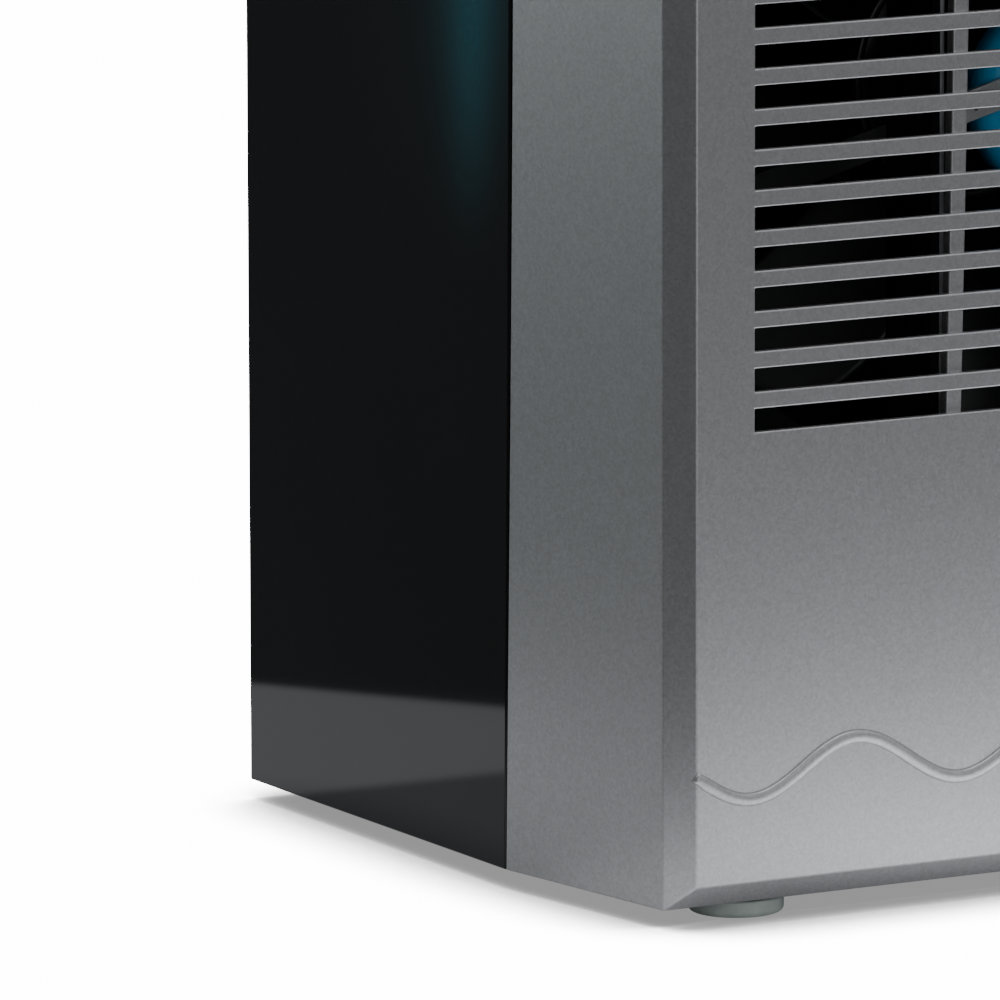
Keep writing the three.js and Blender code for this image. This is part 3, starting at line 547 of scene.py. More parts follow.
def tray_surface(builder, wall, face_wall, top, levels):
    """The chamfered skin with its slots left open; returns rims for the closing faces."""
    row, rise, face = shell_rows(wall, face_wall)
    low, high = BOTTOM + rise, top - rise
    heights = [low, *levels, high]

    def at(k, height):
        x, y = row(height)[k]
        return x, y, height

    def outer(k, i):
        """Column k at level i, with the side columns run to the ends."""
        height = heights[i]
        if k in (0, 1, 6, 7):
            height = {0: BOTTOM, len(heights) - 1: top}.get(i, height)
        return at(k, height)

    last = len(heights) - 1
    for i in range(last):
        for k in range(7):
            if k == 3 and i % 2 == 1:
                continue
            builder.face(outer(k, i), outer(k + 1, i), outer(k + 1, i + 1), outer(k, i + 1))
    edge = face + rise
    for i, height in ((0, BOTTOM), (last, top)):
        q3, q4 = (-GRILLE_HALF, edge, height), (GRILLE_HALF, edge, height)
        builder.face(outer(1, i), outer(2, i), outer(3, i), q3)
        builder.face(q3, outer(3, i), outer(4, i), q4)
        builder.face(q4, outer(4, i), outer(5, i), outer(6, i))
    rim = {
        "bottom": [outer(0, 0), outer(1, 0), (-GRILLE_HALF, edge, BOTTOM), (GRILLE_HALF, edge, BOTTOM)]
        + [outer(6, 0), outer(7, 0)],
        "top": [outer(0, last), outer(1, last), (-GRILLE_HALF, edge, top), (GRILLE_HALF, edge, top)]
        + [outer(6, last), outer(7, last)],
        "seams": [[outer(k, i) for i in range(last + 1)] for k in (0, 7)],
        "columns": [[outer(k, i) for i in range(last + 1)] for k in (3, 4)],
    }
    return rim


def wave_bead():
    """A half-round ridge that waves across the plain lower front."""
    end = CORNER - CHAMFER + 0.35 * MM
    steps, sides = 260, 12
    builder = Builder()
    rings = []
    for i in range(steps + 1):
        x = -end + 2 * end * i / steps
        turn = 2 * math.pi * (x - WAVE_CREST) / WAVE_LENGTH
        slope = -2 * math.pi * WAVE_SWING / WAVE_LENGTH * math.sin(turn)
        along = Vector((1, 0, slope)).normalized()
        across = Vector((-along.z, 0, along.x))
        centre = Vector((x, FRONT, WAVE_LEVEL + WAVE_SWING * math.cos(turn)))
        near_end = min(i, steps - i) / 3
        taper = 1.0 if near_end >= 1 else 0.72 + 0.28 * near_end
        ring = []
        for k in range(sides + 1):
            a = math.pi * k / sides
            out = Vector((0, -1, 0)) * (WAVE_RELIEF * math.sin(a) ** 0.8 * taper)
            ring.append(centre + across * (WAVE_HALF_WIDTH * math.cos(a) * taper) + out)
        ring.append(centre - across * WAVE_HALF_WIDTH * taper + Vector((0, 0.4 * MM, 0)))
        ring.append(centre + across * WAVE_HALF_WIDTH * taper + Vector((0, 0.4 * MM, 0)))
        rings.append([tuple(p) for p in ring])
    builder.sweep(rings)
    return shade_smooth(builder.make("wave_bead"))


def grille_ribs():
    """Three ribs behind the slats; the outer two bow towards the middle."""
    builder = Builder()
    low = SLOT_LOW - 5 * MM
    high = SLOT_LOW + (SLOTS - 1) * SLOT_PITCH + SLOT_HEIGHT + 5 * MM
    near, far = FRONT + FRONT_SKIN - 0.3 * MM, FRONT + FRONT_SKIN + RIB_DEPTH
    steps = 40
    for side in (-1, 0, 1):
        rings = []
        for k in range(steps + 1):
            u = 2 * k / steps - 1
            x = side * (GRILLE_HALF / 2 * RIB_SPREAD - RIB_BOW * (1 - u * u))
            z = low + (high - low) * k / steps
            left, right = x - RIB_WIDTH / 2, x + RIB_WIDTH / 2
            rings.append([(left, near, z), (right, near, z), (right, far, z), (left, far, z)])
        builder.sweep(rings)
    return smooth_edges(builder.make("grille_ribs"), 0.5 * MM)


def front_moulding():
    builder = Builder()
    levels = []
    for i in range(SLOTS):
        levels += [SLOT_LOW + i * SLOT_PITCH, SLOT_LOW + i * SLOT_PITCH + SLOT_HEIGHT]
    outer = tray_surface(builder, 0, 0, TOP, levels)
    inner = tray_surface(builder, SKIN, FRONT_SKIN, TOP - SKIN, levels)
    for a, b in zip(outer["seams"], inner["seams"]):
        for i in range(len(a) - 1):
            builder.face(a[i], a[i + 1], b[i + 1], b[i])
    for i in range(len(outer["bottom"]) - 1):
        a, b = outer["bottom"], inner["bottom"]
        builder.face(a[i], a[i + 1], b[i + 1], b[i])
    builder.face(*outer["top"])
    builder.face(*inner["top"])
    builder.face(outer["top"][0], outer["top"][-1], inner["top"][-1], inner["top"][0])
    (al, ar), (bl, br) = outer["columns"], inner["columns"]
    for i in range(2, 2 * SLOTS + 1, 2):
        for loop in ((al, bl), (ar, br)):
            a, b = loop
            builder.face(a[i - 1], a[i], b[i], b[i - 1])
        for k in (i - 1, i):
            builder.face(al[k], ar[k], br[k], bl[k])
    shell = shade_smooth(smooth_edges(builder.make("front_moulding"), 0.5 * MM, 3))
    whole = join(shell, shade_smooth(grille_ribs()), wave_bead())
    return piece(whole, "front_panel", SILVER)


def side_panel(name, side):
    """Flat glossy panel whose front edge follows the bowed seam."""
    builder = Builder()
    steps = 48
    outside, inside = side * HALF_WIDTH, side * (HALF_WIDTH - SKIN)
    heights = [BOTTOM + (TOP - BOTTOM) * i / steps for i in range(steps + 1)]

    def strip(x0, y0, x1, y1):
        for a, b in zip(heights, heights[1:]):
            builder.face((x0, y0(a), a), (x1, y1(a), a), (x1, y1(b), b), (x0, y0(b), b))

    def seam(z):
        return seam_at(z) + SEAM

    def rear(_):
        return REAR

    strip(outside, seam, outside, rear)
    strip(outside, rear, inside, rear)
    strip(inside, rear, inside, seam)
    strip(inside, seam, outside, seam)
    for z in (BOTTOM, TOP):
        builder.face((outside, seam(z), z), (outside, REAR, z), (inside, REAR, z), (inside, seam(z), z))
    return piece(builder.make("fine_" + name), name, GLOSS, 0.5 * MM)


# ---- Turned pieces ----


def box_centre(node):
    low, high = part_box(node)
    return (low + high) / 2, low, high


def foot(node):
    centre, low, high = box_centre(node)
    r, top = (high.x - low.x) / 2, high.z
    profile = [
        (2.3 * MM, top), (2.3 * MM, 2.4 * MM), (4.3 * MM, 2.4 * MM), (4.3 * MM, 0.4 * MM), (4.8 * MM, 0.0),
        (r - 1.4 * MM, 0.0),
        *arc((r - 1.4 * MM, 1.4 * MM), 1.4 * MM, -70, 0),
        *arc((r - 0.7 * MM, top - 0.7 * MM), 0.7 * MM, 0, 90),
        (2.3 * MM, top),
    ]
    obj = lathe("fine_" + node, profile, (centre.x, centre.y, 0))
    return piece(obj, node, RUBBER)


def carve(obj, cutter):
    """Cut one mesh out of another and drop the cutter."""
    made = obj.modifiers.new("carve", "BOOLEAN")
    made.object = cutter
    made.solver = "EXACT"
    made.use_self = True
    graph = bpy.context.evaluated_depsgraph_get()
    mesh = bpy.data.meshes.new_from_object(obj.evaluated_get(graph))
    obj.modifiers.clear()
    obj.data = mesh
    bpy.data.objects.remove(cutter)
    return obj


def screw(name, node, radius, head, axis="Z", flip=1):
    """A pan-head screw whose cross recess is cut into the head. flip 1 has the head at the low end."""
    centre, low, high = box_centre(node)
    start, end = (low.z, high.z) if axis == "Z" else (low.y, high.y)
    if flip < 0:
        start, end = end, start
    away = 1 if end > start else -1
    head_radius = (high.x - low.x) / 2
    ring = [
        (0, start), (head_radius * 0.62, start), (head_radius * 0.9, start + away * head * 0.35),
        (head_radius, start + away * head), (radius, start + away * head),
        (radius, end - away * 0.5 * MM), (radius - 0.5 * MM, end), (0, end),
    ]
    at = (centre.x, centre.y, 0) if axis == "Z" else (centre.x, 0, centre.z)
    obj = lathe(name, ring, at, axis, 32)
    recess = Builder()
    arm, depth, width = head_radius * 0.6, head * 0.6, head_radius * 0.13
    for along, across in ((arm, width), (width, arm)):
        near, far = sorted((start - away * 0.2 * MM, start + away * depth))
        if axis == "Z":
            recess.box((at[0] - along, at[1] - across, near), (at[0] + along, at[1] + across, far))
        else:
            recess.box((at[0] - along, near, at[2] - across), (at[0] + along, far, at[2] + across))
    return piece(carve(obj, recess.make("recess")), node, STEEL, smooth=False)


MOTOR_RADIUS = 25 * MM
MOTOR_BODY_RADIUS = 22 * MM
MOTOR_BELL = 10 * MM


def fan_motor(name):
    """Enamelled front bell on a darker body with a groove and a rear bearing boss."""
    node = "fan_motor_" + name
    _, low, high = box_centre(node)
    radius, body = MOTOR_RADIUS, MOTOR_BODY_RADIUS
    front, back, boss = low.y, high.y - 3 * MM, high.y
    rim = front + MOTOR_BELL
    bend, groove = 5 * MM, front + 24 * MM
    bell_profile = [
        (0, front + 0.6 * MM), (6 * MM, front + 0.6 * MM), (7 * MM, front),
        *[(x, front + bend - (y - front)) for x, y in arc((radius - bend, front), bend, 90, 0, 10)],
        (radius, rim - 0.5 * MM), (radius - 0.5 * MM, rim), (body - 1 * MM, rim), (0, rim),
    ]
    body_profile = [
        (0, rim - 0.5 * MM), (body, rim - 0.5 * MM), (body, groove - 0.8 * MM), (body - 0.8 * MM, groove),
        (body, groove + 0.8 * MM), (body, back - 3 * MM),
        *[(x, back - 3 * MM + (y - back)) for x, y in arc((body - 3 * MM, back), 3 * MM, 10, 90, 6)],
        (9 * MM, back), (9 * MM, boss - 0.6 * MM), (8.4 * MM, boss), (4.4 * MM, boss),
        (4.4 * MM, back - 16 * MM), (0, back - 16 * MM),
    ]
    at = (0, 0, fan_axis(name))
    bell = lathe("fine_" + node, bell_profile, at, "Y", 96)
    rear = lathe("motor_body", body_profile, at, "Y", 96)
    bell.data.materials.append(TURQUOISE)
    rear.data.materials.append(SATIN)
    return piece(join(bell, rear), node, None)


def fan_axis(name):
    low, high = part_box("motor_shaft_" + name)
    return (low.z + high.z) / 2


def motor_shaft(name):
    node = "motor_shaft_" + name
    _, low, high = box_centre(node)
    r = 4 * MM
    profile = [(0, low.y), (r, low.y), (r, high.y - 0.8 * MM), (r - 0.8 * MM, high.y), (0, high.y)]
    return piece(lathe("fine_" + node, profile, (0, 0, fan_axis(name)), "Y", 48), node, STEEL)


BLADES = 7
HUB_RADIUS = 33 * MM
FAN_RADIUS = 98 * MM


def blade(builder, middle, axis_z, start):
    """One twisted, cambered blade with a thinning aerofoil section."""
    spans, chords = 14, 12
    inner, outer = HUB_RADIUS - 1.2 * MM, FAN_RADIUS

    def point(u, s, side):
        r = inner + (outer - inner) * u
        chord = (33 + 21 * u - 7 * u**4) * MM
        pitch = math.radians(47 - 21 * u)
        sweep = math.radians(16 * u * u)
        half = (1.15 - 0.45 * u) * MM * math.sqrt(max(0.0, 1 - (2 * abs(s)) ** 2.6))
        camber = 3.2 * MM * (1 - 4 * s * s)
        along = s * chord
        lift = camber + side * half
        across = along * math.cos(pitch) - lift * math.sin(pitch)
        y = middle + along * math.sin(pitch) + lift * math.cos(pitch)
        a = start + sweep + across / r
        return r * math.sin(a), y, axis_z + r * math.cos(a)

    def loop(u):
        front = [point(u, -0.5 + k / chords, -1) for k in range(chords + 1)]
        back = [point(u, 0.5 - k / chords, 1) for k in range(1, chords)]
        return front + back

    rings = [loop(i / spans) for i in range(spans + 1)]
    count = len(rings[0])
    for first, second in zip(rings, rings[1:]):
        for k in range(count):
            n = (k + 1) % count
            builder.face(first[k], first[n], second[n], second[k])
    for ring in (rings[0], rings[-1]):
        for k in range(1, count // 2):
            builder.face(ring[k - 1], ring[k], ring[-k], ring[(1 - k) % count])


def impeller(name):
    node = "impeller_" + name
    z = fan_axis(name)
    _, shaft_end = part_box("motor_shaft_" + name)
    front, back = shaft_end.y - 28 * MM, shaft_end.y + 2 * MM
    rim = 2.5 * MM
    inside = HUB_RADIUS - rim
    bore = 4.3 * MM
    profile = [
        (bore, front), (9 * MM, front), (9 * MM, back - rim), (inside, back - rim),
        (inside, front + 0.5 * MM), (inside + 0.5 * MM, front), (HUB_RADIUS - 0.5 * MM, front),
        (HUB_RADIUS, front + 0.5 * MM), (HUB_RADIUS, back - 6 * MM),
        *arc((HUB_RADIUS - 6 * MM, back - 6 * MM), 6 * MM, 10, 90, 7),
        (12 * MM, back), (11 * MM, back - 0.8 * MM), (bore, back - 0.8 * MM), (bore, front),
    ]
    hub = lathe("fine_" + node, profile, (0, 0, z), "Y", 72)
    builder = Builder()
    for i in range(BLADES):
        blade(builder, (front + back) / 2, z, 2 * math.pi * i / BLADES)
    blades = builder.make("blades_" + name)
    return piece(join(hub, blades), node, SATIN)


DUCT_BORE = 101 * MM
DUCT_OUTER = 104 * MM


def fan_plate(name):
    """Square plate with a flared round duct."""
    node = "fan_plate_" + name
    _, low, high = box_centre(node)
    z = fan_axis(name)
    bore, outer = DUCT_BORE, DUCT_OUTER
    front, back = low.y, high.y
    flat = front + SKIN
    segments = 96
    builder = Builder()
    turns = [2 * math.pi * i / segments for i in range(segments)]
    ring = [(math.sin(a), math.cos(a)) for a in turns]

    def edge(i):
        """Where a ray from the hub meets the plate's border."""
        s, c = ring[i % segments]
        up = (high.z - z) if c > 0 else (z - low.z)
        reach = min(high.x / abs(s) if abs(s) > 1e-9 else 1e9, up / abs(c) if abs(c) > 1e-9 else 1e9)
        return s * reach, z + c * reach

    def circle(i, r):
        s, c = ring[i % segments]
        return r * s, z + r * c

    def far(i, x, level):
        """Square of the distance from where ray i meets the border to a corner."""
        across, up = edge(i)
        return (across - x) ** 2 + (up - level) ** 2

    path = [
        (bore + 2.0 * MM, front), (bore + 0.6 * MM, front + 0.6 * MM), (bore, front + 2 * MM),
        (bore, back), (outer, back), (outer, flat),
    ]
    corners = {}
    for sx in (-1, 1):
        for cz in (low.z, high.z):
            best = min(range(segments), key=lambda i: far(i, sx * high.x, cz))
            corners[best] = (sx * high.x, cz)

    def border(i):
        return corners.get(i % segments, edge(i))

    def quad(corners_xz, depths):
        builder.face(*[(x, y, level) for (x, level), y in zip(corners_xz, depths)])

    for i in range(segments):
        n = i + 1
        for (r0, y0), (r1, y1) in zip(path, path[1:]):
            quad((circle(i, r0), circle(n, r0), circle(n, r1), circle(i, r1)), (y0, y0, y1, y1))
        first = path[0][0]
        quad((circle(i, first), circle(n, first), border(n), border(i)), (front,) * 4)
        quad((circle(i, outer), circle(n, outer), border(n), border(i)), (flat,) * 4)
        quad((border(i), border(n), border(n), border(i)), (front, front, flat, flat))
    return piece(builder.make("fine_" + node), node, MATTE, 0.3 * MM, 2)


STRAP_TILT = math.radians(15)
STRAP_WIDTH = 7.7 * MM
STRAP_OFFSET = 7.4 * MM
STRAP_SKIN = 1.6 * MM
STRAP_SHADE_START = 33 * MM  # painted shade: the strap is matte black beyond the motor, for the dark interior around it
LOCATING_REACH = 27.6 * MM
LOCATING_RADIUS = 0.6 * MM


def motor_strap(name):
    """Bent zinc-plated strip across the motor, with rounded bends and toes on the plate."""
    node = "motor_strap_" + name
    _, low, high = box_centre(node)
    span, toe, bend = 113 * MM, 12 * MM, 3 * MM
    front, back = low.y, high.y
    middle = STRAP_SKIN / 2
    half_path = [(0, front + middle), (STRAP_SHADE_START, front + middle)]
    corner = (span - middle - bend, front + middle + bend)
    half_path += [(corner[0] + bend * math.sin(a), corner[1] - bend * math.cos(a)) for a in angles(0, 90, 6)]
    corner = (span - middle + bend, back - middle - bend)
    half_path += [(corner[0] - bend * math.cos(a), corner[1] + bend * math.sin(a)) for a in angles(0, 90, 6)]
    half_path.append((span + toe, back - middle))
    path = [(-u, y) for u, y in reversed(half_path[1:])] + half_path
    turn = Matrix.Translation((0, 0, fan_axis(name))) @ Matrix.Rotation(-STRAP_TILT, 4, "Y")
    builder = Builder()
    rings = []
    for i, (u, y) in enumerate(path):
        before, after = path[max(i - 1, 0)], path[min(i + 1, len(path) - 1)]
        along = Vector((after[0] - before[0], after[1] - before[1])).normalized()
        normal = Vector((-along.y, along.x)) * middle
        ring = []
        for side, edge in ((1, 1), (1, -1), (-1, -1), (-1, 1)):
            point = (u + side * normal.x, y + side * normal.y, STRAP_OFFSET + edge * STRAP_WIDTH / 2)
            ring.append(tuple(turn @ Vector(point)))
        rings.append(ring)
    builder.sweep(rings)
    strap = builder.make("fine_" + node)
    ends = (front - MM, front + 3 * MM)
    profile = [(0, ends[0]), (LOCATING_RADIUS, ends[0]), (LOCATING_RADIUS, ends[1]), (0, ends[1])]
    hole = lathe("hole", profile, (0, 0, 0), "Y", 24)
    hole.data.transform(turn @ Matrix.Translation((-LOCATING_REACH, 0, STRAP_OFFSET - 1 * MM)))
    made = piece(carve(strap, hole), node, ZINC, 0.3 * MM, 2)
    # Painted shade: faces beyond the motor take matte black, standing in for the dark housing around them.
    repaint(made, MATTE, lambda polygon: abs(polygon.center.x) > STRAP_SHADE_START)
    return made


def angles(start, end, steps):
    return [math.radians(start + (end - start) * i / steps) for i in range(steps + 1)]


# ---- Swing mechanism and base ----


def round_can(node, radius, low, high, edge, groove=None, axis="Z", centre=None):
    """A turned can with rounded rims and, where asked, a rolled groove."""
    middle, _, _ = box_centre(node)
    profile = [(0, low), (radius - edge, low), *arc((radius - edge, low + edge), edge, -80, 0, 4)]
    if groove:
        profile += [(radius, groove - edge), (radius - edge, groove), (radius, groove + edge)]
    profile += [*arc((radius - edge, high - edge), edge, 0, 80, 4), (radius - edge, high), (0, high)]
    at = centre or (middle.x, middle.y, 0)
    return lathe("fine_" + node, profile, at, axis, 64)


def swing_motor():
    _, low, high = box_centre("swing_motor")
    can_top = low.z + 18 * MM
    can = round_can("swing_motor", 24 * MM, low.z, can_top, 1.2 * MM, low.z + 9 * MM)
    shaft = round_can("swing_motor", 2.5 * MM, can_top - 1 * MM, high.z, 0.4 * MM)
    return piece(join(can, shaft), "swing_motor", STEEL)


def capacitor():
    _, low, high = box_centre("run_capacitor")
    can = round_can("run_capacitor", 12 * MM, low.z, high.z, 1.0 * MM, high.z - 4 * MM)
    return piece(can, "run_capacitor", ZINC)


def crank():
    middle, low, high = box_centre("swing_crank")
    top = low.z + 4 * MM
    throw = 8 * MM
    disc = lathe(
        "fine_swing_crank",
        [(2.8 * MM, low.z), (11.4 * MM, low.z), (12 * MM, low.z + 0.6 * MM), (12 * MM, top - 0.6 * MM),
         (11.4 * MM, top), (4.5 * MM, top), (4.0 * MM, top - 0.5 * MM), (2.8 * MM, top - 0.5 * MM),
         (2.8 * MM, low.z)],
        (middle.x, middle.y, 0),
    )
    pin = lathe(
        "crank_pin",
        [(0, top - 0.5 * MM), (2 * MM, top - 0.5 * MM), (2 * MM, high.z - 0.5 * MM), (1.5 * MM, high.z),
         (0, high.z)],
        (middle.x, middle.y + throw, 0),
        segments=32,
    )
    return piece(join(disc, pin), "swing_crank", MATTE)


# ---- Controls ----


def knob(node):
    """Fluted knob with a domed top, a raised pointer and a printed line. A row is radius, height, flute."""
    centre, low, high = box_centre(node)
    base = TOP + 0.8 * MM
    top = high.z
    radius = (high.x - low.x) / 2
    flutes, per_flute = 36, 6
    segments = flutes * per_flute
    rows = [
        (0.0, base, 0), (radius - 1.2 * MM, base, 0), (radius - 0.4 * MM, base + 0.5 * MM, 0),
        (radius, base + 1.4 * MM, 0), (radius, base + 2.2 * MM, 0), (radius - 0.3 * MM, base + 2.8 * MM, 1),
        (radius - 1.0 * MM, top - 3.6 * MM, 1), (radius - 1.6 * MM, top - 2.6 * MM, 0.4),
        (radius - 2.6 * MM, top - 1.9 * MM, 0),
        (radius - 5 * MM, top - 1.6 * MM, 0), (0.0, top - 1.6 * MM, 0),
    ]
    builder = Builder()

    def point(i, row):
        r, z, depth = row
        wave = 0.5 - 0.5 * math.cos(2 * math.pi * (i % per_flute) / per_flute)
        r = max(0.0, r - depth * 0.55 * MM * wave)
        a = 2 * math.pi * (i % segments) / segments
        return centre.x + r * math.cos(a), centre.y + r * math.sin(a), z

    centre.y = (low.y + high.y) / 2
    for i in range(segments):
        for first, second in zip(rows, rows[1:]):
            builder.face(point(i, first), point(i + 1, first), point(i + 1, second), point(i, second))
    grip = builder.make("fine_" + node)
    bar = Builder()
    bar.box(
        (centre.x - 1.5 * MM, centre.y - radius + 3 * MM, top - 2.6 * MM),
        (centre.x + 1.5 * MM, centre.y - 3 * MM, top),
    )
    pointer = smooth_edges(bar.make("pointer"), 0.6 * MM)
    spindle = round_can(node, 4 * MM, low.z, base + 1 * MM, 0.5 * MM, centre=(centre.x, centre.y, 0))
    made = piece(join(grip, pointer, spindle), node, SATIN)
    line = Builder()
    line.box(
        (centre.x - 0.5 * MM, centre.y - radius + 3.9 * MM, top - 0.02 * MM),
        (centre.x + 0.5 * MM, centre.y - 4 * MM, top + 0.08 * MM),
    )
    mark = line.make("mark_" + node)
    finish_piece(mark, BODY_OF[node], PRINT)
    return made


def button():
    node = "swing_button"
    centre, low, high = box_centre(node)
    stem, cap = 2.5 * MM, 8 * MM
    shoulder = TOP - SKIN + 2.5 * MM
    profile = [
        (0, low.z), (stem, low.z), (stem, shoulder), (cap - 0.4 * MM, shoulder), (cap, shoulder + 0.4 * MM),
        (cap, high.z - 1.2 * MM), *arc((cap - 1.2 * MM, high.z - 1.2 * MM), 1.2 * MM, 0, 85),
        (4 * MM, high.z - 0.25 * MM), (0, high.z - 0.5 * MM),
    ]
    return piece(lathe("fine_" + node, profile, (centre.x, centre.y, 0)), node, GLOSS)


def lamp():
    centre, low, high = box_centre("pilot_lamp")
    r = 3 * MM
    dome = arc((0, TOP - 2 * MM), r, 35, 88, 6)
    profile = [(0, low.z), (r, low.z), (r, TOP - 0.2 * MM), *dome, (0, high.z)]
    return piece(lathe("fine_pilot_lamp", profile, (centre.x, centre.y, 0)), "pilot_lamp", AMBER)


def print_flat(name, obj):
    finish_piece(obj, "housing", PRINT)
    obj.name = name


def numeral(text, x, y, size=7 * MM):
    curve = bpy.data.curves.new("numeral", "FONT")
    curve.body = text
    curve.size = size
    curve.align_x = curve.align_y = "CENTER"
    curve.extrude = 0.06 * MM
    curve.offset = 0.12 * MM
    curve.resolution_u = 4
    holder = bpy.data.objects.new("numeral", curve)
    bpy.context.collection.objects.link(holder)
    graph = bpy.context.evaluated_depsgraph_get()
    mesh = bpy.data.meshes.new_from_object(holder.evaluated_get(graph))
    bpy.data.objects.remove(holder)
    mesh.transform(Matrix.Translation((x, y, TOP + 0.06 * MM)))
    obj = bpy.data.objects.new("numeral", mesh)
    bpy.context.collection.objects.link(obj)
    return obj


NUMERAL_REACH = 29 * MM
TICK_REACH = (21 * MM, 23.6 * MM)


def dial_scale(node, labels, step, ticks):
    """Numerals and tick lines round a knob, starting at the front and going clockwise."""
    centre, _, _ = box_centre(node)
    marks = []
    for i, text in enumerate(labels):
        a = math.radians(-90 - i * step)
        across, along = NUMERAL_REACH * math.cos(a), NUMERAL_REACH * math.sin(a)
        marks.append(numeral(text, centre.x + across, centre.y + along))
    lines = Builder()
    for i in range(ticks + 1):
        a = math.radians(-90 - i * step * (len(labels) - 1) / ticks)
        along, across = Vector((math.cos(a), math.sin(a), 0)), Vector((-math.sin(a), math.cos(a), 0))
        start, end = TICK_REACH
        corners = [
            Vector((centre.x, centre.y, TOP)) + along * reach + across * side * 0.4 * MM
            for reach, side in ((start, -1), (end, -1), (end, 1), (start, 1))
        ]
        low_ring = [tuple(c - Vector((0, 0, 0.02 * MM))) for c in corners]
        high_ring = [tuple(c + Vector((0, 0, 0.07 * MM))) for c in corners]
        lines.face(*low_ring)
        lines.face(*high_ring)
        for k in range(4):
            n = (k + 1) % 4
            lines.face(low_ring[k], low_ring[n], high_ring[n], high_ring[k])
    print_flat("scale_" + node, join(lines.make("scale"), *marks))


# ---- Every piece ----

front_moulding()
side_panel("left_side_panel", -1)
side_panel("right_side_panel", 1)
for corner in ("front_left", "front_right", "rear_left", "rear_right"):
    foot("foot_" + corner)
    screw("fine_foot_screw_" + corner, "foot_screw_" + corner, 2 * MM, 1.5 * MM)
for end in ("left", "right"):
    screw("fine_rear_screw_" + end, "rear_screw_" + end, 1.7 * MM, 1.7 * MM, "Y", -1)
    refined("inlet_pin_" + end, BRASS, 0.4 * MM)
    refined(end + "_rail", ZINC, 0.3 * MM, 2)
for name in FANS:
    fan_plate(name)
    fan_motor(name)
    motor_shaft(name)
    impeller(name)
    motor_strap(name)
    screw("fine_strap_screw_" + name, "strap_screw_" + name, 1.6 * MM, 1.3 * MM, "Y")
for side in ("left", "middle", "right"):
    vane = refined("swing_vane_" + side, SATIN, 0.4 * MM, 2, 20)
    # Painted highlight: the vane's front-facing faces take the grey nose material.
    repaint(vane, NOSE_HIGHLIGHT, lambda polygon: polygon.normal.y < -0.6)
refined("top_cover", GLOSS, 0.4 * MM)
refined("base_tray", MATTE, 0.3 * MM)
refined("rear_grille", REAR_BLACK, 0.5 * MM)
refined("dust_filter", FOAM, 0.5 * MM)
refined("rear_upper_panel", REAR_BLACK, 0.8 * MM)
refined("rear_lower_panel", REAR_BLACK, 0.5 * MM)
refined("inlet_socket", SATIN, 0.5 * MM)
refined("vane_tie_bar", SATIN, 0.4 * MM, 2)
refined("lower_vane_rail", MATTE, 0.4 * MM, 2)
refined("upper_vane_rail", MATTE, 0.4 * MM, 2)
refined("mechanism_shelf", ZINC, 0.4 * MM, 2)
refined("speed_switch", MATTE, 0.8 * MM)
refined("timer_unit", MATTE, 0.8 * MM)
refined("swing_switch", MATTE, 0.5 * MM)
swing_motor()
capacitor()
crank()
knob("speed_knob")
knob("timer_knob")
button()
lamp()
dial_scale("speed_knob", ("0", "1", "2", "3"), 45, 3)
dial_scale("timer_knob", ("0", "30", "60", "90", "120"), 75, 12)

# ---- Floor, light and camera ----

# Levels are radiance. A pair is where an edge starts and ends to fade, in metres.
WHITE = 15.0  # floor and background to the camera
SHADOW = 0.33  # darkest contact shadow
SHADOW_REACH = 0.04
SHADOW_OPEN = (0.15, 0.80)  # open sky at the darkest and the end of the shadow
SKY = 0.2  # what matt surfaces see
# Painted reflection: a bright patch that the floor emits only to glossy rays, standing in for the studio
# seen in the black sides.
REFLECTION_GLOW = 2.5
REFLECTION_FRONT = (-0.37, -0.12)
REFLECTION_LEFT = (-0.40, -0.17)
REFLECTION_RIGHT = (0.75, 0.30)
REFLECTION_FAR = (0.598, 0.578)
REFLECTION_FAR_SLANT = 1.52
REFLECTION_DIM = (-0.13, -0.08)
REFLECTION_BACK = 0.41  # share of the painted reflection's level further back
REFLECTION_SIDE = (-0.16, 0.0)
REFLECTION_OUTER = 0.62  # share of the painted reflection's level further left
BESIDE_SHADE = 0.60  # painted shade taken from the painted reflection just left of the fan
BESIDE_NEAR = (-0.145, -0.155)
BESIDE_OUTER = (-0.26, -0.22)
BESIDE_REAR = (0.108, 0.094)
BESIDE_FRONT = (-0.06, -0.02)
# Painted reflection: the dim level that the rest of the floor emits to glossy rays.
REFLECTED_FLOOR_DIM = 0.085
REFLECTED_FLOOR_LEFT = 0.06
REFLECTED_FLOOR_FADE = (0.10, 0.40)
LEFT_WAY = (-0.88, -0.47)
TEAL_REFLECTION = 1.0  # painted reflection: a teal streak across the floor behind the fan, emitted only to glossy rays
TEAL_REFLECTION_WAY = (0.874, 0.486)
TEAL_REFLECTION_NEAR = (-0.1450, -0.1395)
TEAL_REFLECTION_FAR = (-0.1290, -0.1345)
TEAL_REFLECTION_RISE = (0.85, 1.60)
STUDIO = 0.36
STUDIO_FADE = (0.85, 0.15)
STUDIO_LEFT = 0.060
CEILING = 0.15
CEILING_RISE = (0.45, 0.95)


def fade(s, source, start, end):
    """A smooth step from start to end of a value, in either direction."""
    made = s.node("MapRange", interpolation_type="SMOOTHSTEP")
    made.inputs["From Min"].default_value = start
    made.inputs["From Max"].default_value = end
    s.link(source, made.inputs["Value"])
    return made.outputs["Result"]


def maths(s, operation, *values):
    made = s.node("Math", operation=operation)
    for i, value in enumerate(values):
        if isinstance(value, (int, float)):
            made.inputs[i].default_value = value
        else:
            s.link(value, made.inputs[i])
    return made.outputs["Value"]


def product(s, *values):
    total = values[0]
    for value in values[1:]:
        total = maths(s, "MULTIPLY", total, value)
    return total


def weighed(s, x, y, way):
    """Distance along a level direction."""
    return maths(s, "ADD", maths(s, "MULTIPLY", x, way[0]), maths(s, "MULTIPLY", y, way[1]))


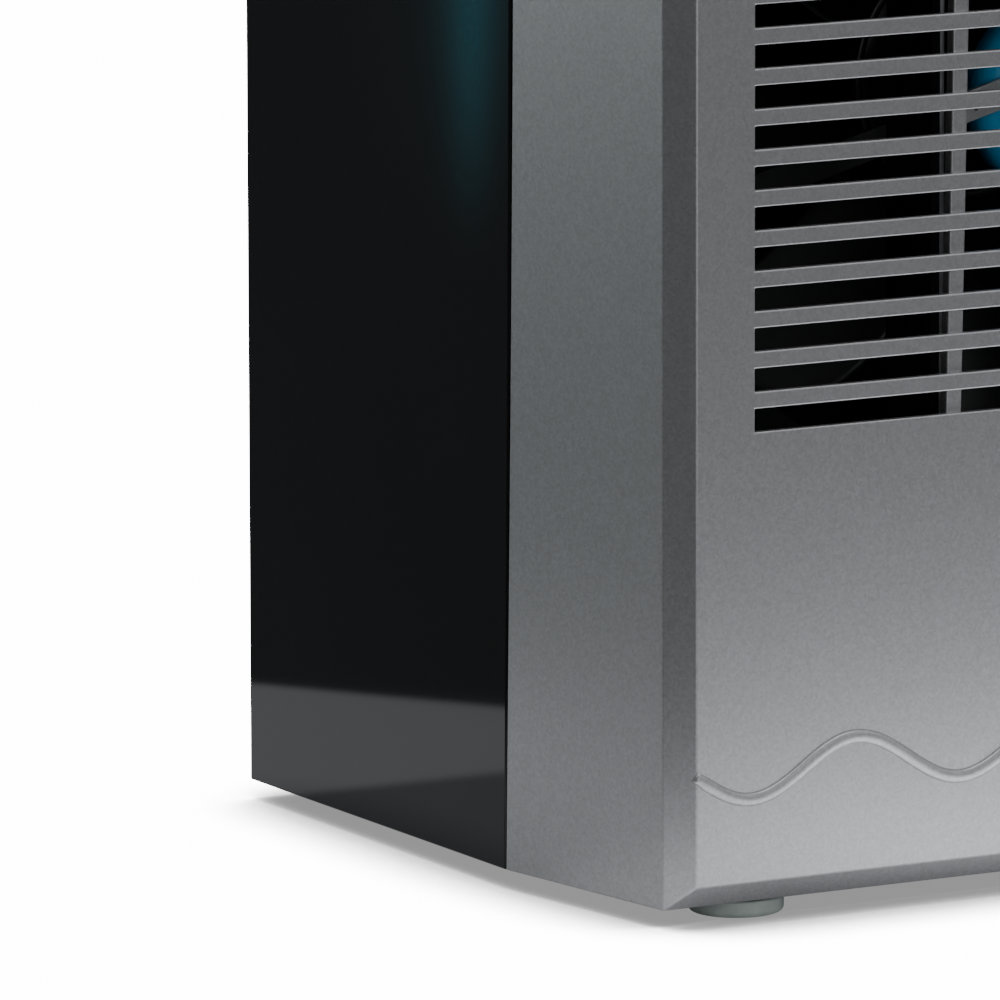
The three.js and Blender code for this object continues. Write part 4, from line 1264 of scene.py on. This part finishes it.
def floor():
    """White with a painted soft contact shadow to the camera; to glossy rays, a painted reflection: a white
    patch on a dim floor and a teal streak.
    """
    obj = mesh_object("floor", [(-60, -60, 0), (60, -60, 0), (60, 60, 0), (-60, 60, 0)], [(0, 1, 2, 3)])
    s = Shader("pale_floor", Roughness=0.9)
    s.bsdf.inputs["Base Color"].default_value = (0.86, 0.86, 0.865, 1)
    s.bsdf.inputs["Specular IOR Level"].default_value = 0.0
    split = s.node("SeparateXYZ")
    s.link(s.coords, split.inputs["Vector"])
    x, y = split.outputs["X"], split.outputs["Y"]

    open_sky = s.node("AmbientOcclusion", samples=12)
    open_sky.inputs["Distance"].default_value = SHADOW_REACH
    contact = open_sky.outputs["AO"]
    skew = maths(s, "ADD", x, maths(s, "MULTIPLY", y, 0.5))
    edge = maths(s, "SUBTRACT", y, maths(s, "MULTIPLY", x, REFLECTION_FAR_SLANT))
    beside = product(
        s, fade(s, x, *BESIDE_NEAR), fade(s, x, *BESIDE_OUTER), fade(s, y, *BESIDE_REAR),
        fade(s, y, *BESIDE_FRONT), BESIDE_SHADE
    )
    # Painted reflection, cut back by painted shade beside the fan and near the housing.
    painted_reflection = product(
        s, fade(s, y, *REFLECTION_FRONT), fade(s, edge, *REFLECTION_FAR), fade(s, skew, *REFLECTION_LEFT),
        fade(s, x, *REFLECTION_RIGHT), maths(s, "SUBTRACT", 1.0, beside),
        s.remap(fade(s, y, *REFLECTION_DIM), 1.0, REFLECTION_BACK), s.remap(fade(s, x, *REFLECTION_SIDE), REFLECTION_OUTER, 1.0),
        maths(s, "POWER", contact, 1.6),
    )
    leftward = weighed(s, x, y, LEFT_WAY)
    dim = s.remap(fade(s, leftward, *REFLECTED_FLOOR_FADE), REFLECTED_FLOOR_DIM, REFLECTED_FLOOR_LEFT)
    reflection_glow = s.node("Emission")
    reflection_glow.inputs["Color"].default_value = (0.935, 0.965, 1.0, 1)
    s.link(maths(s, "ADD", maths(s, "MULTIPLY", painted_reflection, REFLECTION_GLOW), dim), reflection_glow.inputs["Strength"])

    # Painted reflection: the teal streak, seen only in glossy rays.
    along = weighed(s, x, y, TEAL_REFLECTION_WAY)
    band = product(s, fade(s, along, *TEAL_REFLECTION_NEAR), fade(s, along, *TEAL_REFLECTION_FAR))
    streak = s.node("Emission")
    streak.inputs["Color"].default_value = (0.10, 0.80, 1.0, 1)
    s.link(product(s, band, fade(s, y, *TEAL_REFLECTION_RISE), TEAL_REFLECTION), streak.inputs["Strength"])
    mirrored = s.node("AddShader")
    s.link(reflection_glow.outputs["Emission"], mirrored.inputs[0])
    s.link(streak.outputs["Emission"], mirrored.inputs[1])

    seen = s.node("Emission")
    rise = s.node("MapRange")
    rise.inputs["From Min"].default_value, rise.inputs["From Max"].default_value = SHADOW_OPEN
    s.link(contact, rise.inputs["Value"])
    level = maths(s, "POWER", WHITE / SHADOW, maths(s, "POWER", rise.outputs["Result"], 2.0))
    s.link(maths(s, "MULTIPLY", level, SHADOW), seen.inputs["Strength"])

    path = s.node("LightPath")
    for_mirror = s.node("MixShader")
    s.link(path.outputs["Is Glossy Ray"], for_mirror.inputs["Fac"])
    s.link(s.bsdf.outputs["BSDF"], for_mirror.inputs[1])
    s.link(mirrored.outputs["Shader"], for_mirror.inputs[2])
    for_camera = s.node("MixShader")
    s.link(path.outputs["Is Camera Ray"], for_camera.inputs["Fac"])
    s.link(for_mirror.outputs["Shader"], for_camera.inputs[1])
    s.link(seen.outputs["Emission"], for_camera.inputs[2])
    s.link(for_camera.outputs["Shader"], s.tree.nodes["Material Output"].inputs["Surface"])
    obj.data.materials.append(s.material)


def world():
    """White to the camera, a soft sky to matt surfaces, and a dim studio in reflections."""
    made = bpy.data.worlds.new("studio")
    made.use_nodes = True
    tree = made.node_tree
    s = Nodes(tree, "Generated")
    back = tree.nodes["Background"]
    back.inputs["Color"].default_value = (1, 1, 1, 1)
    path = s.node("LightPath")
    s.link(maths(s, "ADD", maths(s, "MULTIPLY", path.outputs["Is Camera Ray"], WHITE - SKY), SKY),
           back.inputs["Strength"])
    toward = s.node("VectorMath", operation="DOT_PRODUCT")
    s.link(s.coords, toward.inputs[0])
    toward.inputs[1].default_value = (*LEFT_WAY, 0.0)
    split = s.node("SeparateXYZ")
    s.link(s.coords, split.inputs["Vector"])
    room = product(s, fade(s, toward.outputs["Value"], *STUDIO_FADE), STUDIO)
    roof = product(s, fade(s, split.outputs["Z"], *CEILING_RISE), CEILING)
    strength = maths(s, "ADD", maths(s, "ADD", room, STUDIO_LEFT), roof)
    dim = tree.nodes.new("ShaderNodeBackground")
    dim.inputs["Color"].default_value = (0.945, 0.975, 1.0, 1)
    s.link(strength, dim.inputs["Strength"])
    mix = tree.nodes.new("ShaderNodeMixShader")
    s.link(path.outputs["Is Glossy Ray"], mix.inputs["Fac"])
    s.link(back.outputs["Background"], mix.inputs[1])
    s.link(dim.outputs["Background"], mix.inputs[2])
    s.link(mix.outputs["Shader"], tree.nodes["World Output"].inputs["Surface"])
    bpy.context.scene.world = made


def area_light(name, place, target, size, power, colour=(1, 1, 1)):
    data = bpy.data.lights.new(name, "AREA")
    data.shape = "RECTANGLE"
    data.size, data.size_y = size
    data.energy = power
    data.color = colour
    obj = bpy.data.objects.new(name, data)
    obj.location = place
    obj.rotation_mode = "QUATERNION"
    obj.rotation_quaternion = (Vector(target) - Vector(place)).to_track_quat("-Z", "Y")
    obj.visible_camera = False
    bpy.context.collection.objects.link(obj)


def camera():
    """Long lens from the front left, a little above, on the lower corner of the housing."""
    data = bpy.data.cameras.new("camera")
    data.sensor_width = 36
    data.lens = 430.96
    data.clip_end = 200
    obj = bpy.data.objects.new("camera", data)
    bpy.context.collection.objects.link(obj)
    yaw, pitch, roll = math.radians(29.166), math.radians(9.780), math.radians(-0.135)
    forward = Vector(
        (math.sin(yaw) * math.cos(pitch), math.cos(yaw) * math.cos(pitch), -math.sin(pitch))
    )
    right = Vector((math.cos(yaw), -math.sin(yaw), 0))
    up = right.cross(forward)
    turned_right = math.cos(roll) * right + math.sin(roll) * up
    turned_up = -math.sin(roll) * right + math.cos(roll) * up
    place = Vector((-1.5853, FRONT - 2.5015, BOTTOM + 0.6019))
    axes = Matrix((turned_right, turned_up, -forward)).transposed().to_4x4()
    obj.matrix_world = Matrix.Translation(place) @ axes
    bpy.context.scene.camera = obj


floor()
world()
area_light("overhead", (0.1, -0.5, 2.6), (0, 0, 0.4), (1.8, 1.2), 14)
area_light("front", (1.5, -1.6, 1.5), (0, 0, 0.4), (0.9, 1.2), 2.5, (0.93, 0.97, 1.0))
area_light("fill", (-0.40, -2.0, 0.5), (0, 0, 0.4), (0.4, 1.2), 4.6, (0.95, 0.98, 1.0))
area_light("strip", (-1.9, 0.56, 1.3), (-0.14, 0, 0.6), (0.25, 1.6), 0.8, (0.85, 0.98, 1.0))
area_light("left", (-0.50, 0.45, 0.45), (-0.15, -0.07, 0.30), (0.3, 0.3), 1.7, (0.87, 1.0, 1.0))
camera()
